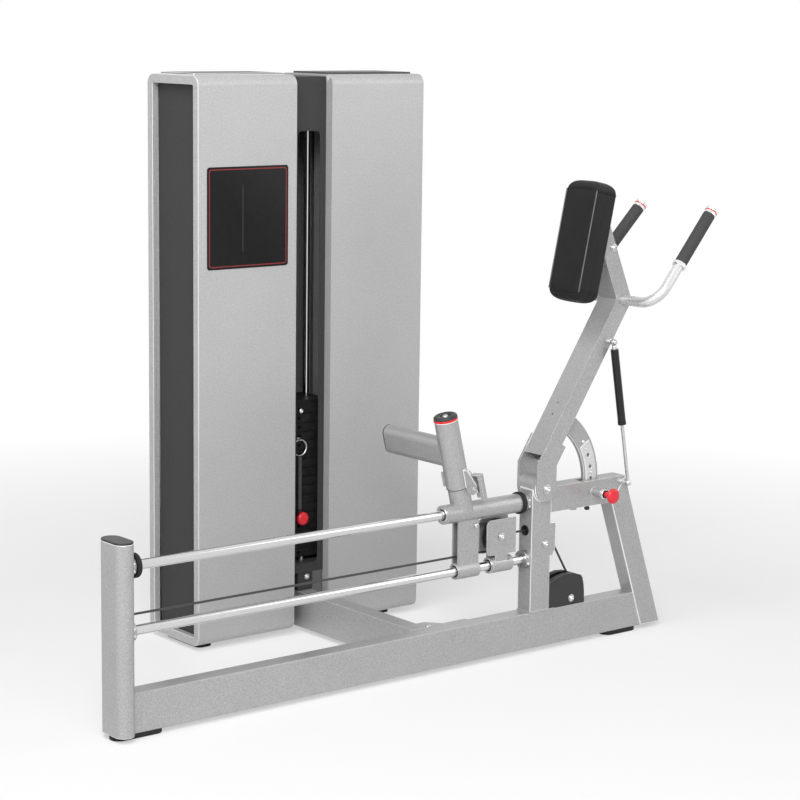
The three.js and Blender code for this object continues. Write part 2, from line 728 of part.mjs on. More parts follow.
// How far back a piece may stand at a height and stay clear of the quadrant's inner edge.
const insideQuadrant = (z) =>
  PIVOT_X + Math.sqrt(QUADRANT_INNER_RADIUS ** 2 - (PIVOT_Z - z) ** 2) - QUADRANT_SLOT_PLAY;
const pinPlace = quadrantPoint(QUADRANT_HOLE_CIRCLE_RADIUS, QUADRANT_REST);
const quadrantHalf = QUADRANT_THICKNESS / 2;
const quadrantFace = quadrantHalf + QUADRANT_STRIP_RISE;

// The top tube and the leg meet in a mitre that halves the angle between them.
const mitreTopX = legFrontX(TOP_TUBE_TOP) + legLengthX;
const mitreBottomX = legFrontX(TOP_TUBE_BOTTOM);
const mitreRise = (mitreTopX - mitreBottomX) / TOP_TUBE_DEPTH;
const gasBottomX =
  mitreBottomX + (GAS_BOTTOM_Z - TOP_TUBE_BOTTOM) * mitreRise
  - (GAS_STUD_RADIUS + 2 * SEAT_GAP) / Math.cos(Math.atan(mitreRise));
{
  const throughSlot = box(
    insideQuadrant(TOP_TUBE_BOTTOM),
    PIVOT_X + QUADRANT_OUTER_RADIUS + QUADRANT_SLOT_PLAY,
    -quadrantFace - QUADRANT_SLOT_PLAY, quadrantFace + QUADRANT_SLOT_PLAY,
    TOP_TUBE_BOTTOM - OVERRUN, TOP_TUBE_TOP + OVERRUN,
  );
  const body = outline([
    [UPRIGHT_REAR + SEAT_GAP, TOP_TUBE_BOTTOM],
    [mitreBottomX - SEAT_GAP, TOP_TUBE_BOTTOM],
    [mitreTopX - SEAT_GAP, TOP_TUBE_TOP],
    [UPRIGHT_REAR + SEAT_GAP, TOP_TUBE_TOP],
  ]);
  const bore = box(
    UPRIGHT_REAR - OVERRUN, mitreTopX + OVERRUN,
    -SIDE_Y + TUBE_WALL, SIDE_Y - TUBE_WALL,
    TOP_TUBE_BOTTOM + TUBE_WALL, TOP_TUBE_TOP - TUBE_WALL,
  );
  const hub = bar(
    [PIVOT_X, -ARM_WIDTH, PIVOT_Z],
    [PIVOT_X, ARM_WIDTH, PIVOT_Z],
    CLEVIS_RADIUS + 4 * RUN_GAP,
  );
  const housing = bar(
    [pinPlace[0], -SIDE_Y - PULL_HOUSING_LENGTH, pinPlace[1]],
    [pinPlace[0], -SIDE_Y + WELD, pinPlace[1]],
    PULL_HOUSING_RADIUS,
  );
  const pinBore = bar(
    [pinPlace[0], -SIDE_Y - PULL_HOUSING_LENGTH - OVERRUN, pinPlace[1]],
    [pinPlace[0], -SIDE_Y + TUBE_WALL + OVERRUN, pinPlace[1]],
    PULL_PIN_RADIUS + SEAT_GAP,
    MID_SIDES,
  );
  const stopX = insideQuadrant(TOP_TUBE_BOTTOM - STOP_HEIGHT) - STOP_RADIUS;
  const stop = bar(
    [stopX, 0, TOP_TUBE_BOTTOM - STOP_HEIGHT],
    [stopX, 0, TOP_TUBE_BOTTOM + WELD],
    STOP_RADIUS,
    MID_SIDES,
  );
  const stud = bar(
    [gasBottomX, -SIDE_Y + WELD, GAS_BOTTOM_Z],
    [gasBottomX, -GAS_Y + GAS_EYE_WIDTH / 2 + SEAT_GAP, GAS_BOTTOM_Z],
    GAS_STUD_RADIUS,
    SMALL_SIDES,
  );
  const tube = cut(
    join(cut(extrudeAcrossY(body, -SIDE_Y, SIDE_Y), bore), housing, stop, stud),
    throughSlot,
    pinBore,
    cut(hub, box(PIVOT_X - ARM_WIDTH, UPRIGHT_REAR, -ARM_WIDTH, ARM_WIDTH, 0, POST_TOP + ARM_WIDTH)),
  );
  put('top_tube', tube, SILVER());

  const leg = outline([
    [legFrontX(BEAM_BOTTOM), BEAM_BOTTOM],
    [legFrontX(BEAM_BOTTOM) + legLengthX, BEAM_BOTTOM],
    [mitreTopX, TOP_TUBE_TOP],
    [mitreBottomX, TOP_TUBE_BOTTOM],
  ]);
  const inset = TUBE_WALL / Math.cos(LEG_TILT);
  const legBore = outline([
    [legFrontX(BEAM_BOTTOM - OVERRUN) + inset, BEAM_BOTTOM - OVERRUN],
    [legFrontX(BEAM_BOTTOM - OVERRUN) + legLengthX - inset, BEAM_BOTTOM - OVERRUN],
    [legFrontX(TOP_TUBE_TOP + OVERRUN) + legLengthX - inset, TOP_TUBE_TOP + OVERRUN],
    [legFrontX(TOP_TUBE_TOP + OVERRUN) + inset, TOP_TUBE_TOP + OVERRUN],
  ]);
  const legTube = cut(
    extrudeAcrossY(leg, -SIDE_Y, SIDE_Y),
    extrudeAcrossY(legBore, -SIDE_Y + TUBE_WALL, SIDE_Y - TUBE_WALL),
  );
  put('rear_leg', legTube, SILVER());
}

// Rods, collars, bumper.
const rodStart = POST_REAR + SEAT_GAP;
const rodEnd = UPRIGHT_FRONT - SEAT_GAP;
for (const [name, z] of [['upper_rod', UPPER_ROD_Z], ['lower_rod', LOWER_ROD_Z]]) {
  put(name, bar([rodStart, 0, z], [rodEnd, 0, z], ROD_RADIUS), CHROME());
  for (const [place, start] of [['front', rodStart], ['rear', rodEnd - COLLAR_WIDTH]]) {
    const slit = box(
      start - OVERRUN, start + COLLAR_WIDTH + OVERRUN,
      -COLLAR_SLIT / 2, COLLAR_SLIT / 2,
      z - COLLAR_RADIUS - OVERRUN, z,
    );
    const collar = cut(
      ring([start, 0, z], [start + COLLAR_WIDTH, 0, z], COLLAR_RADIUS, ROD_RADIUS + SEAT_GAP),
      slit,
    );
    put(`${name}_${place}_collar`, collar, CHROME());
  }
}
put(
  'post_bumper',
  ring(
    [rodStart + COLLAR_WIDTH + SEAT_GAP, 0, UPPER_ROD_Z],
    [rodStart + COLLAR_WIDTH + SEAT_GAP + BUMPER_WIDTH, 0, UPPER_ROD_Z],
    BUMPER_RADIUS,
    ROD_RADIUS + SEAT_GAP,
  ),
  RUBBER(),
);

// Pulleys.
// A grooved pulley on its own axle, whose heads lie outside the plates that hold it.
function pulley(centre, direction, plateHalf) {
  const half = PULLEY_WIDTH / 2;
  const rim = [
    [0, -half],
    [PULLEY_RADIUS, -half],
    [PULLEY_RADIUS, -GROOVE_RIM_HALF],
    [GROOVE_FLOOR_RADIUS, -GROOVE_FLOOR_HALF],
    [GROOVE_FLOOR_RADIUS, GROOVE_FLOOR_HALF],
    [PULLEY_RADIUS, GROOVE_RIM_HALF],
    [PULLEY_RADIUS, half],
    [0, half],
  ];
  const along = new THREE.Vector3(...direction);
  const at = (distance) => new THREE.Vector3(...centre).addScaledVector(along, distance).toArray();
  const reach = plateHalf + SEAT_GAP + AXLE_HEAD_HEIGHT;
  return join(
    revolve(rim, centre, direction, PULLEY_SIDES),
    bar(at(-reach), at(reach), AXLE_RADIUS, SMALL_SIDES),
    bar(at(-reach), at(-plateHalf - SEAT_GAP), AXLE_HEAD_RADIUS, SMALL_SIDES),
    bar(at(plateHalf + SEAT_GAP), at(reach), AXLE_HEAD_RADIUS, SMALL_SIDES),
  );
}
put('upright_pulley', pulley([UPRIGHT_PULLEY_X, 0, UPRIGHT_PULLEY_Z], [0, 1, 0], SIDE_Y), BLACK_PLASTIC());
put('base_pulley', pulley([BASE_PULLEY_X, 0, BASE_PULLEY_Z], [0, 1, 0], SIDE_Y), BLACK_PLASTIC());

const gussetHalf = PULLEY_WIDTH / 2 + 2 * RUN_GAP;
put(
  'turn_pulley',
  pulley([TURN_PULLEY_X, TURN_PULLEY_Y, BEAM_CABLE_Z], [0, 0, 1], gussetHalf + GUSSET_THICKNESS),
  BLACK_PLASTIC(),
);

{
  const x0 = UPRIGHT_REAR + SEAT_GAP;
  const x1 = x0 + COVER_LENGTH;
  const z0 = BEAM_TOP + SEAT_GAP;
  const z1 = z0 + COVER_HEIGHT;
  const cheek = (inset) => {
    const shape = new THREE.Shape();
    const low = inset ? z0 - OVERRUN : z0;
    const rearTop = x1 - COVER_CROWN - inset;
    shape.moveTo(inset ? x0 - OVERRUN : x0, low);
    shape.lineTo(x1 - inset, low);
    shape.quadraticCurveTo(x1 - inset, z1 - COVER_CROWN - inset, rearTop, z1 - inset);
    shape.quadraticCurveTo(
      (x0 + x1) / 2, z1 + COVER_CROWN * 2 - inset,
      inset ? x0 - OVERRUN : x0, z1 - COVER_CROWN / 2 - inset,
    );
    shape.closePath();
    return shape;
  };
  const cableSlot = box(
    x0 - OVERRUN, x1 - COVER_CROWN * 2,
    -COVER_SLOT_HALF, COVER_SLOT_HALF,
    z1 - COVER_CROWN - COVER_WALL, z1 + COVER_CROWN * 2,
  );
  const cover = cut(
    extrudeAcrossY(cheek(0), -SIDE_Y, SIDE_Y),
    extrudeAcrossY(cheek(COVER_WALL), -SIDE_Y + COVER_WALL, SIDE_Y - COVER_WALL),
    cableSlot,
    bar(
      [BASE_PULLEY_X, -TUBE_WIDTH, BASE_PULLEY_Z],
      [BASE_PULLEY_X, TUBE_WIDTH, BASE_PULLEY_Z],
      AXLE_HOLE_RADIUS,
      SMALL_SIDES,
    ),
  );
  put('pulley_cover', cover, CHARCOAL());
}

// Tower frame.
startAssembly('tower');
const sillBottom = SHROUD_BOTTOM + SHROUD_WALL + SEAT_GAP;
const sillTop = sillBottom + TOWER_TUBE;
const sillFront = STACK_Y - TOWER_TUBE / 2;
const sillRear = STACK_Y + TOWER_TUBE / 2;
const stackBaseTop = STACK_BOTTOM - SEAT_GAP - STACK_BUMPER_HEIGHT;
const stackBaseBottom = stackBaseTop - STACK_BASE_THICKNESS;
const pedestalFront = SHROUD_FRONT + COVER_RECESS + SHROUD_WALL;

{
  const flangeStart = SIDE_Y + SEAT_GAP;
  const tube = box(
    TOWER_CENTRE_X - SIDE_Y, TOWER_CENTRE_X + SIDE_Y,
    flangeStart, sillFront - SEAT_GAP,
    BEAM_BOTTOM, BEAM_TOP,
  );
  const bore = box(
    TOWER_CENTRE_X - SIDE_Y + TUBE_WALL, TOWER_CENTRE_X + SIDE_Y - TUBE_WALL,
    flangeStart - OVERRUN, sillFront + OVERRUN,
    BEAM_BOTTOM + TUBE_WALL, BEAM_TOP - TUBE_WALL,
  );
  const flange = box(
    TOWER_CENTRE_X - CROSS_FLANGE_FRONT, TOWER_CENTRE_X + CROSS_FLANGE_REAR,
    flangeStart, flangeStart + CROSS_FLANGE_THICKNESS,
    BEAM_BOTTOM + TUBE_WALL, BEAM_TOP - TUBE_WALL / 2,
  );
  const axleReach = gussetHalf + GUSSET_THICKNESS + 2 * SEAT_GAP + AXLE_HEAD_HEIGHT;
  const headPocket = bar(
    [TURN_PULLEY_X, TURN_PULLEY_Y, BEAM_CABLE_Z - axleReach],
    [TURN_PULLEY_X, TURN_PULLEY_Y, BEAM_CABLE_Z + axleReach],
    AXLE_HEAD_RADIUS + 2 * RUN_GAP,
    MID_SIDES,
  );
  const gussetShape = outline([
    [TOWER_CENTRE_X, flangeStart],
    [TOWER_CENTRE_X + SIDE_Y + GUSSET_REACH_X, flangeStart],
    [TOWER_CENTRE_X + SIDE_Y + GUSSET_REACH_X, flangeStart + CROSS_FLANGE_THICKNESS],
    [TOWER_CENTRE_X + SIDE_Y + GUSSET_REACH_X / 2, flangeStart + GUSSET_REACH_Y],
    [TOWER_CENTRE_X, flangeStart + GUSSET_REACH_Y],
  ]);
  const gusset = (z) => extrudeUp(gussetShape, z, z + GUSSET_THICKNESS);
  const pulleyWindow = box(
    TURN_PULLEY_X - PULLEY_RADIUS - 4 * RUN_GAP, TURN_PULLEY_X + PULLEY_RADIUS + 4 * RUN_GAP,
    -SIDE_Y, TURN_PULLEY_Y + PULLEY_RADIUS + 4 * RUN_GAP,
    BEAM_CABLE_Z - gussetHalf, BEAM_CABLE_Z + gussetHalf,
  );
  const member = cut(
    join(
      cut(join(tube, flange), bore, headPocket),
      gusset(BEAM_CABLE_Z + gussetHalf),
      gusset(BEAM_CABLE_Z - gussetHalf - GUSSET_THICKNESS),
    ),
    pulleyWindow,
    bar(
      [TURN_PULLEY_X, TURN_PULLEY_Y, BEAM_BOTTOM],
      [TURN_PULLEY_X, TURN_PULLEY_Y, BEAM_TOP + OVERRUN],
      AXLE_HOLE_RADIUS,
      SMALL_SIDES,
    ),
  );
  put('cross_member', member, SILVER());
}

{
  const postInner = STACK_LENGTH_X / 2 + STACK_SIDE_GAP;
  const sillStart = SHROUD_LEFT_END + PANEL_RECESS + SHROUD_WALL + TOWER_SILL_END;
  const sillEnd = 2 * TOWER_CENTRE_X - sillStart;
  const headTop = TOWER_HEAD_Z + TOWER_TUBE;
  const postX = [-postInner - TOWER_TUBE, postInner];
  const solids = [
    box(sillStart, sillEnd, sillFront, sillRear, sillBottom, sillTop),
    box(
      TOWER_CENTRE_X - postInner - TOWER_TUBE, TOWER_CENTRE_X + postInner + TOWER_TUBE,
      sillFront, sillRear, TOWER_HEAD_Z, headTop,
    ),
  ];
  const bores = [
    box(
      sillStart - OVERRUN, sillEnd + OVERRUN,
      sillFront + TUBE_WALL, sillRear - TUBE_WALL,
      sillBottom + TUBE_WALL, sillTop - TUBE_WALL,
    ),
    box(
      TOWER_CENTRE_X - postInner - TOWER_TUBE - OVERRUN, TOWER_CENTRE_X + postInner + TOWER_TUBE + OVERRUN,
      sillFront + TUBE_WALL, sillRear - TUBE_WALL,
      TOWER_HEAD_Z + TUBE_WALL, headTop - TUBE_WALL,
    ),
  ];
  for (const offset of postX) {
    const x = TOWER_CENTRE_X + offset;
    solids.push(box(x, x + TOWER_TUBE, sillFront, sillRear, sillTop - WELD, TOWER_HEAD_Z + WELD));
    bores.push(
      box(
        x + TUBE_WALL, x + TOWER_TUBE - TUBE_WALL,
        sillFront + TUBE_WALL, sillRear - TUBE_WALL,
        sillTop - TUBE_WALL - OVERRUN / 2, TOWER_HEAD_Z + TUBE_WALL + OVERRUN / 2,
      ),
    );
  }
  // Fork plates hold the lower pulley on the sill and the upper one under the head.
  const fork = (side, z0, z1) => {
    const near = TOWER_CENTRE_X + side * FORK_GAP_HALF;
    const far = near + side * FORK_PLATE;
    return box(
      Math.min(near, far), Math.max(near, far),
      sillRear - TOWER_TUBE / 4, LIFT_PULLEY_Y + FORK_REACH,
      z0, z1,
    );
  };
  for (const side of [-1, 1]) {
    solids.push(fork(side, sillTop - WELD, stackBaseBottom - SEAT_GAP));
    solids.push(fork(side, TOP_PULLEY_Z - FORK_REACH, TOWER_HEAD_Z + WELD));
  }
  const axleHole = (z) =>
    bar(
      [TOWER_CENTRE_X - TOWER_TUBE, LIFT_PULLEY_Y, z],
      [TOWER_CENTRE_X + TOWER_TUBE, LIFT_PULLEY_Y, z],
      AXLE_HOLE_RADIUS,
      SMALL_SIDES,
    );
  put(
    'tower_frame',
    cut(join(...solids), ...bores, axleHole(STACK_PULLEY_Z), axleHole(TOP_PULLEY_Z)),
    SILVER(),
  );
  const forkHalf = FORK_GAP_HALF + FORK_PLATE;
  put(
    'stack_pulley',
    pulley([TOWER_CENTRE_X, LIFT_PULLEY_Y, STACK_PULLEY_Z], [1, 0, 0], forkHalf),
    BLACK_PLASTIC(),
  );
  put(
    'top_pulley',
    pulley([TOWER_CENTRE_X, LIFT_PULLEY_Y, TOP_PULLEY_Z], [1, 0, 0], forkHalf),
    BLACK_PLASTIC(),
  );
}

// Shrouds and panels.
function shroud(x0, outwards) {
  const x1 = x0 + SHROUD_LENGTH;
  const skin = (inset) =>
    roundedOutline(
      SHROUD_FRONT + inset, SHROUD_REAR - inset,
      SHROUD_BOTTOM + inset, SHROUD_TOP - inset,
      SHROUD_CORNER - inset,
    );
  const opening = (inset) =>
    roundedOutline(
      SHROUD_FRONT + inset, SHROUD_REAR - inset,
      SHROUD_BOTTOM + inset, SHROUD_TOP - inset,
      SHROUD_CORNER / 4,
    );
  const outerStart = outwards < 0 ? x0 : x1 - PANEL_RECESS;
  const outerEnd = outwards < 0 ? x0 + PANEL_RECESS : x1;
  const shellStart = outwards < 0 ? x0 + SHROUD_WALL : x0 - OVERRUN;
  const shellEnd = outwards < 0 ? x1 + OVERRUN : x1 - SHROUD_WALL;
  const shell = cut(
    extrudeAlongX(skin(0), x0, x1),
    extrudeAlongX(skin(SHROUD_WALL), shellStart, shellEnd),
    extrudeAlongX(opening(RIM_WIDTH), x0 - OVERRUN, x1 + OVERRUN),
  );
  const sleeve = cut(
    extrudeAlongX(opening(RIM_WIDTH - SHROUD_WALL), outerStart, outerEnd),
    extrudeAlongX(opening(RIM_WIDTH), outerStart - OVERRUN, outerEnd + OVERRUN),
  );
  // Lips turn in at the open inner end, beside the centre cover.
  const lipStart = outwards < 0 ? x1 - SHROUD_WALL : x0;
  const lip = cut(
    extrudeAlongX(skin(0), lipStart, lipStart + SHROUD_WALL),
    box(
      lipStart - OVERRUN, lipStart + SHROUD_WALL + OVERRUN,
      SHROUD_FRONT + LIP_WIDTH, SHROUD_REAR - LIP_WIDTH,
      SHROUD_BOTTOM + SHROUD_WALL, SHROUD_TOP - LIP_WIDTH,
    ),
  );
  const lid = box(
    x0 + LID_INSET, x1 - LID_INSET,
    SHROUD_FRONT + SHROUD_CORNER + LID_INSET, SHROUD_REAR - SHROUD_CORNER - LID_INSET,
    SHROUD_TOP - WELD, SHROUD_TOP + LID_HEIGHT,
  );
  return join(shell, sleeve, lip, lid);
}
put('left_shroud', shroud(SHROUD_LEFT_END, -1), SHROUD_SILVER());
put('right_shroud', shroud(SHROUD_RIGHT_START, 1), SHROUD_SILVER());

function endPanel(x0) {
  const inset = RIM_WIDTH - PANEL_LAP;
  const shape = roundedOutline(
    SHROUD_FRONT + inset, SHROUD_REAR - inset,
    SHROUD_BOTTOM + inset, SHROUD_TOP - inset,
    SHROUD_CORNER / 2,
  );
  return extrudeAlongX(shape, x0, x0 + SHROUD_WALL);
}
const panelDepth = PANEL_RECESS + SEAT_GAP;
put('left_end_panel', endPanel(SHROUD_LEFT_END + panelDepth), CHARCOAL());
put(
  'right_end_panel',
  endPanel(SHROUD_RIGHT_START + SHROUD_LENGTH - panelDepth - SHROUD_WALL),
  CHARCOAL(),
);

// One folded sheet closes the gap between the shrouds at the front, the top and the back.
{
  const x0 = TOWER_CENTRE_X - SHROUD_GAP / 2 + SEAT_GAP;
  const x1 = TOWER_CENTRE_X + SHROUD_GAP / 2 - SEAT_GAP;
  const front = SHROUD_FRONT + COVER_RECESS;
  const rear = SHROUD_REAR - COVER_RECESS;
  const top = SHROUD_TOP - LID_HEIGHT;
  const sheet = cut(
    box(x0, x1, front, rear, COVER_BOTTOM, top),
    box(
      x0 - OVERRUN, x1 + OVERRUN,
      front + SHROUD_WALL, rear - SHROUD_WALL,
      COVER_BOTTOM - OVERRUN, top - SHROUD_WALL,
    ),
  );
  const slot = roundedOutline(
    TOWER_CENTRE_X - SLOT_WIDTH / 2, TOWER_CENTRE_X + SLOT_WIDTH / 2,
    SLOT_BOTTOM, SLOT_TOP,
    SLOT_CORNER,
  );
  put(
    'centre_cover',
    cut(sheet, extrudeAcrossY(slot, front - OVERRUN, front + SHROUD_WALL + OVERRUN)),
    CHARCOAL(),
  );
}

for (const [name, start] of [
  ['tower_foot_left', SHROUD_LEFT_END + TOWER_FOOT_LEFT_INSET],
  ['tower_foot_right', SHROUD_RIGHT_START + SHROUD_LENGTH - TOWER_FOOT_RIGHT_INSET - TOWER_FOOT_LENGTH],
]) {
  const shape = roundedOutline(
    start, start + TOWER_FOOT_LENGTH,
    SHROUD_FRONT + TOWER_FOOT_FRONT, SHROUD_REAR - TOWER_FOOT_FRONT,
    TOWER_FOOT_LENGTH / 3,
  );
  put(name, extrudeUp(shape, 0, SHROUD_BOTTOM - SEAT_GAP), RUBBER());
}

// Weight stack.
const stackFront = STACK_Y - STACK_DEPTH_Y / 2;
const stackRear = STACK_Y + STACK_DEPTH_Y / 2;
const stackLeft = TOWER_CENTRE_X - STACK_LENGTH_X / 2;
const stackRight = TOWER_CENTRE_X + STACK_LENGTH_X / 2;
const liftedBottom = STACK_BOTTOM + RESTING_PLATE_COUNT * PLATE_PITCH;
const stackTop = liftedBottom + LIFTED_PLATE_COUNT * PLATE_PITCH;
const headTopZ = stackTop + HEAD_PLATE_HEIGHT;
const guideRodX = [TOWER_CENTRE_X - GUIDE_ROD_SPREAD, TOWER_CENTRE_X + GUIDE_ROD_SPREAD];
const selectorZ = liftedBottom + PLATE_PITCH / 2;

{
  const plates = (first, count) => {
    const slabs = Array.from({ length: count }, (_, index) => {
      const z = first + index * PLATE_PITCH;
      return box(stackLeft, stackRight, stackFront, stackRear, z, z + PLATE_PITCH - PLATE_GROOVE);
    });
    const core = box(
      stackLeft + GROOVE_DEPTH, stackRight - GROOVE_DEPTH,
      stackFront + GROOVE_DEPTH, stackRear - GROOVE_DEPTH,
      first, first + count * PLATE_PITCH - SEAT_GAP,
    );
    return join(core, ...slabs);
  };
  const holes = (first, count) =>
    Array.from({ length: count }, (_, index) => {
      const z = first + (index + 0.5) * PLATE_PITCH - PLATE_GROOVE / 2;
      return bar(
        [TOWER_CENTRE_X, stackFront - OVERRUN, z],
        [TOWER_CENTRE_X, stackFront + PIN_HOLE_DEPTH, z],
        PIN_HOLE_RADIUS,
        SMALL_SIDES,
      );
    });
  const guideBores = guideRodX.map((x) =>
    bar(
      [x, STACK_Y, STACK_BOTTOM - OVERRUN],
      [x, STACK_Y, headTopZ + OVERRUN],
      GUIDE_ROD_RADIUS + RUN_GAP,
      MID_SIDES,
    ),
  );
  const stemBore = bar(
    [TOWER_CENTRE_X, STACK_Y, STACK_BOTTOM - OVERRUN],
    [TOWER_CENTRE_X, STACK_Y, liftedBottom + OVERRUN],
    STEM_RADIUS + 2 * RUN_GAP,
    MID_SIDES,
  );
  put(
    'stack_lower',
    cut(
      plates(STACK_BOTTOM, RESTING_PLATE_COUNT),
      ...holes(STACK_BOTTOM, RESTING_PLATE_COUNT),
      ...guideBores,
      stemBore,
    ),
    CAST_BLACK(),
  );
  const head = box(
    stackLeft + GROOVE_DEPTH, stackRight - GROOVE_DEPTH,
    stackFront + GROOVE_DEPTH, stackRear - GROOVE_DEPTH,
    stackTop - WELD, headTopZ,
  );
  const stem = bar(
    [TOWER_CENTRE_X, STACK_Y, liftedBottom - STEM_TAIL_LENGTH],
    [TOWER_CENTRE_X, STACK_Y, headTopZ + STEM_HEAD_HEIGHT],
    STEM_RADIUS,
    MID_SIDES,
  );
  const pinHoles = holes(liftedBottom, LIFTED_PLATE_COUNT);
  put(
    'stack_lifted',
    cut(join(plates(liftedBottom, LIFTED_PLATE_COUNT), head, stem), ...pinHoles, ...guideBores),
    CAST_BLACK(),
  );

  const knobFace = stackFront - PIN_STANDOFF;
  const pinZ = selectorZ - PLATE_GROOVE / 2;
  put(
    'selector_pin',
    join(
      bar(
        [TOWER_CENTRE_X, knobFace - PIN_KNOB_LENGTH, pinZ],
        [TOWER_CENTRE_X, knobFace, pinZ],
        PIN_KNOB_RADIUS,
      ),
      bar(
        [TOWER_CENTRE_X, knobFace - WELD, pinZ],
        [TOWER_CENTRE_X, stackFront + PIN_REACH, pinZ],
        PIN_RADIUS,
        SMALL_SIDES,
      ),
    ),
    RED_PLASTIC(),
  );

  const plate = box(
    stackLeft, stackRight,
    pedestalFront + SEAT_GAP, stackRear,
    stackBaseBottom, stackBaseTop,
  );
  const pedestal = cut(
    box(
      TOWER_CENTRE_X - SIDE_Y, TOWER_CENTRE_X + SIDE_Y,
      pedestalFront + SEAT_GAP, pedestalFront + PEDESTAL_DEPTH,
      BEAM_TOP + SEAT_GAP, stackBaseBottom + WELD,
    ),
    box(
      TOWER_CENTRE_X - SIDE_Y + TUBE_WALL, TOWER_CENTRE_X + SIDE_Y - TUBE_WALL,
      pedestalFront + TUBE_WALL, pedestalFront + PEDESTAL_DEPTH + OVERRUN,
      BEAM_TOP - OVERRUN, stackBaseBottom,
    ),
  );
  const bumpers = guideRodX.map((x) =>
    ring(
      [x, STACK_Y, stackBaseTop - WELD],
      [x, STACK_Y, STACK_BOTTOM - SEAT_GAP],
      STACK_BUMPER_RADIUS,
      GUIDE_ROD_RADIUS + RUN_GAP,
      MID_SIDES,
    ),
  );
  put('stack_base', join(plate, pedestal, ...bumpers), CHARCOAL());
  ['guide_rod_left', 'guide_rod_right'].forEach((name, index) => {
    const x = guideRodX[index];
    put(
      name,
      bar(
        [x, STACK_Y, stackBaseTop + SEAT_GAP],
        [x, STACK_Y, TOWER_HEAD_Z - SEAT_GAP],
        GUIDE_ROD_RADIUS,
        MID_SIDES,
      ),
      CHROME(),
    );
  });
}

// Carriage.
startAssembly('carriage');
const upperSleeveEnd = UPPER_SLEEVE_START + UPPER_SLEEVE_LENGTH;
const swivel = new THREE.Group();
swivel.position.set(SWIVEL_X, 0, UPPER_ROD_Z);
swivel.rotation.y = -SWIVEL_TILT;
assembly.add(swivel);
swivel.updateMatrix();

// A solid made about the swivel axis, moved to where the column stands.
function inColumn(solid) {
  const geometry = toGeometry(solid);
  geometry.applyMatrix4(swivel.matrix);
  return toSolid(geometry);
}

const liner = (name, start, length, z, radius) =>
  put(
    name,
    ring([start, 0, z], [start + length, 0, z], radius - SEAT_GAP, ROD_RADIUS + SEAT_GAP),
    BLACK_PLASTIC(),
  );

{
  const upper = bar(
    [UPPER_SLEEVE_START, 0, UPPER_ROD_Z],
    [upperSleeveEnd, 0, UPPER_ROD_Z],
    UPPER_SLEEVE_RADIUS,
  );
  const lower = bar(
    [LOWER_SLEEVE_START, 0, LOWER_ROD_Z],
    [LOWER_SLEEVE_START + LOWER_SLEEVE_LENGTH, 0, LOWER_ROD_Z],
    LOWER_SLEEVE_RADIUS,
  );
  const plate = (y0, y1) =>
    box(BRACKET_START, BRACKET_START + BRACKET_LENGTH, y0, y1, LOWER_ROD_Z, UPPER_ROD_Z);
  const outside = BRACKET_GAP_HALF + BRACKET_PLATE;
  const anchorX = BRACKET_START + BRACKET_LENGTH - ANCHOR_INSET;
  const anchorZ = MAIN_CABLE_Z + CABLE_TRACK_RADIUS;
  const anchor = bar(
    [anchorX, -outside - WELD, anchorZ],
    [anchorX, outside + WELD, anchorZ],
    ANCHOR_RADIUS,
    SMALL_SIDES,
  );
  const anchorHead = bar(
    [anchorX, -outside - AXLE_HEAD_HEIGHT, anchorZ],
    [anchorX, -outside + WELD, anchorZ],
    AXLE_HEAD_RADIUS - RUN_GAP,
    SMALL_SIDES,
  );
  const stub = inColumn(
    join(bar([0, 0, 0], [0, 0, STUB_HEIGHT], STUB_RADIUS), bar([0, 0, 0], [0, 0, SPINDLE_TOP], SPINDLE_RADIUS)),
  );
  const spindleBore = inColumn(bar([0, 0, STUB_HEIGHT / 2], [0, 0, SPINDLE_TOP + OVERRUN], SPINDLE_BORE));
  const boreThrough = (z, radius) =>
    bar([UPPER_SLEEVE_START - OVERRUN, 0, z], [upperSleeveEnd + OVERRUN, 0, z], radius);
  const carriage = cut(
    join(
      upper,
      lower,
      plate(-outside, -BRACKET_GAP_HALF),
      plate(BRACKET_GAP_HALF, outside),
      anchor,
      anchorHead,
      stub,
    ),
    boreThrough(UPPER_ROD_Z, UPPER_LINER_RADIUS),
    boreThrough(LOWER_ROD_Z, LOWER_LINER_RADIUS),
    spindleBore,
  );
  put('carriage_frame', carriage, SILVER());
  liner('upper_bearing', UPPER_SLEEVE_START, UPPER_SLEEVE_LENGTH, UPPER_ROD_Z, UPPER_LINER_RADIUS);
  liner('lower_bearing', LOWER_SLEEVE_START, LOWER_SLEEVE_LENGTH, LOWER_ROD_Z, LOWER_LINER_RADIUS);
  put(
    'carriage_bumper',
    ring(
      [upperSleeveEnd + SEAT_GAP, 0, UPPER_ROD_Z],
      [upperSleeveEnd + SEAT_GAP + CARRIAGE_BUMPER_LENGTH, 0, UPPER_ROD_Z],
      CARRIAGE_BUMPER_RADIUS,
      ROD_RADIUS + SEAT_GAP,
    ),
    RUBBER(),
  );
}

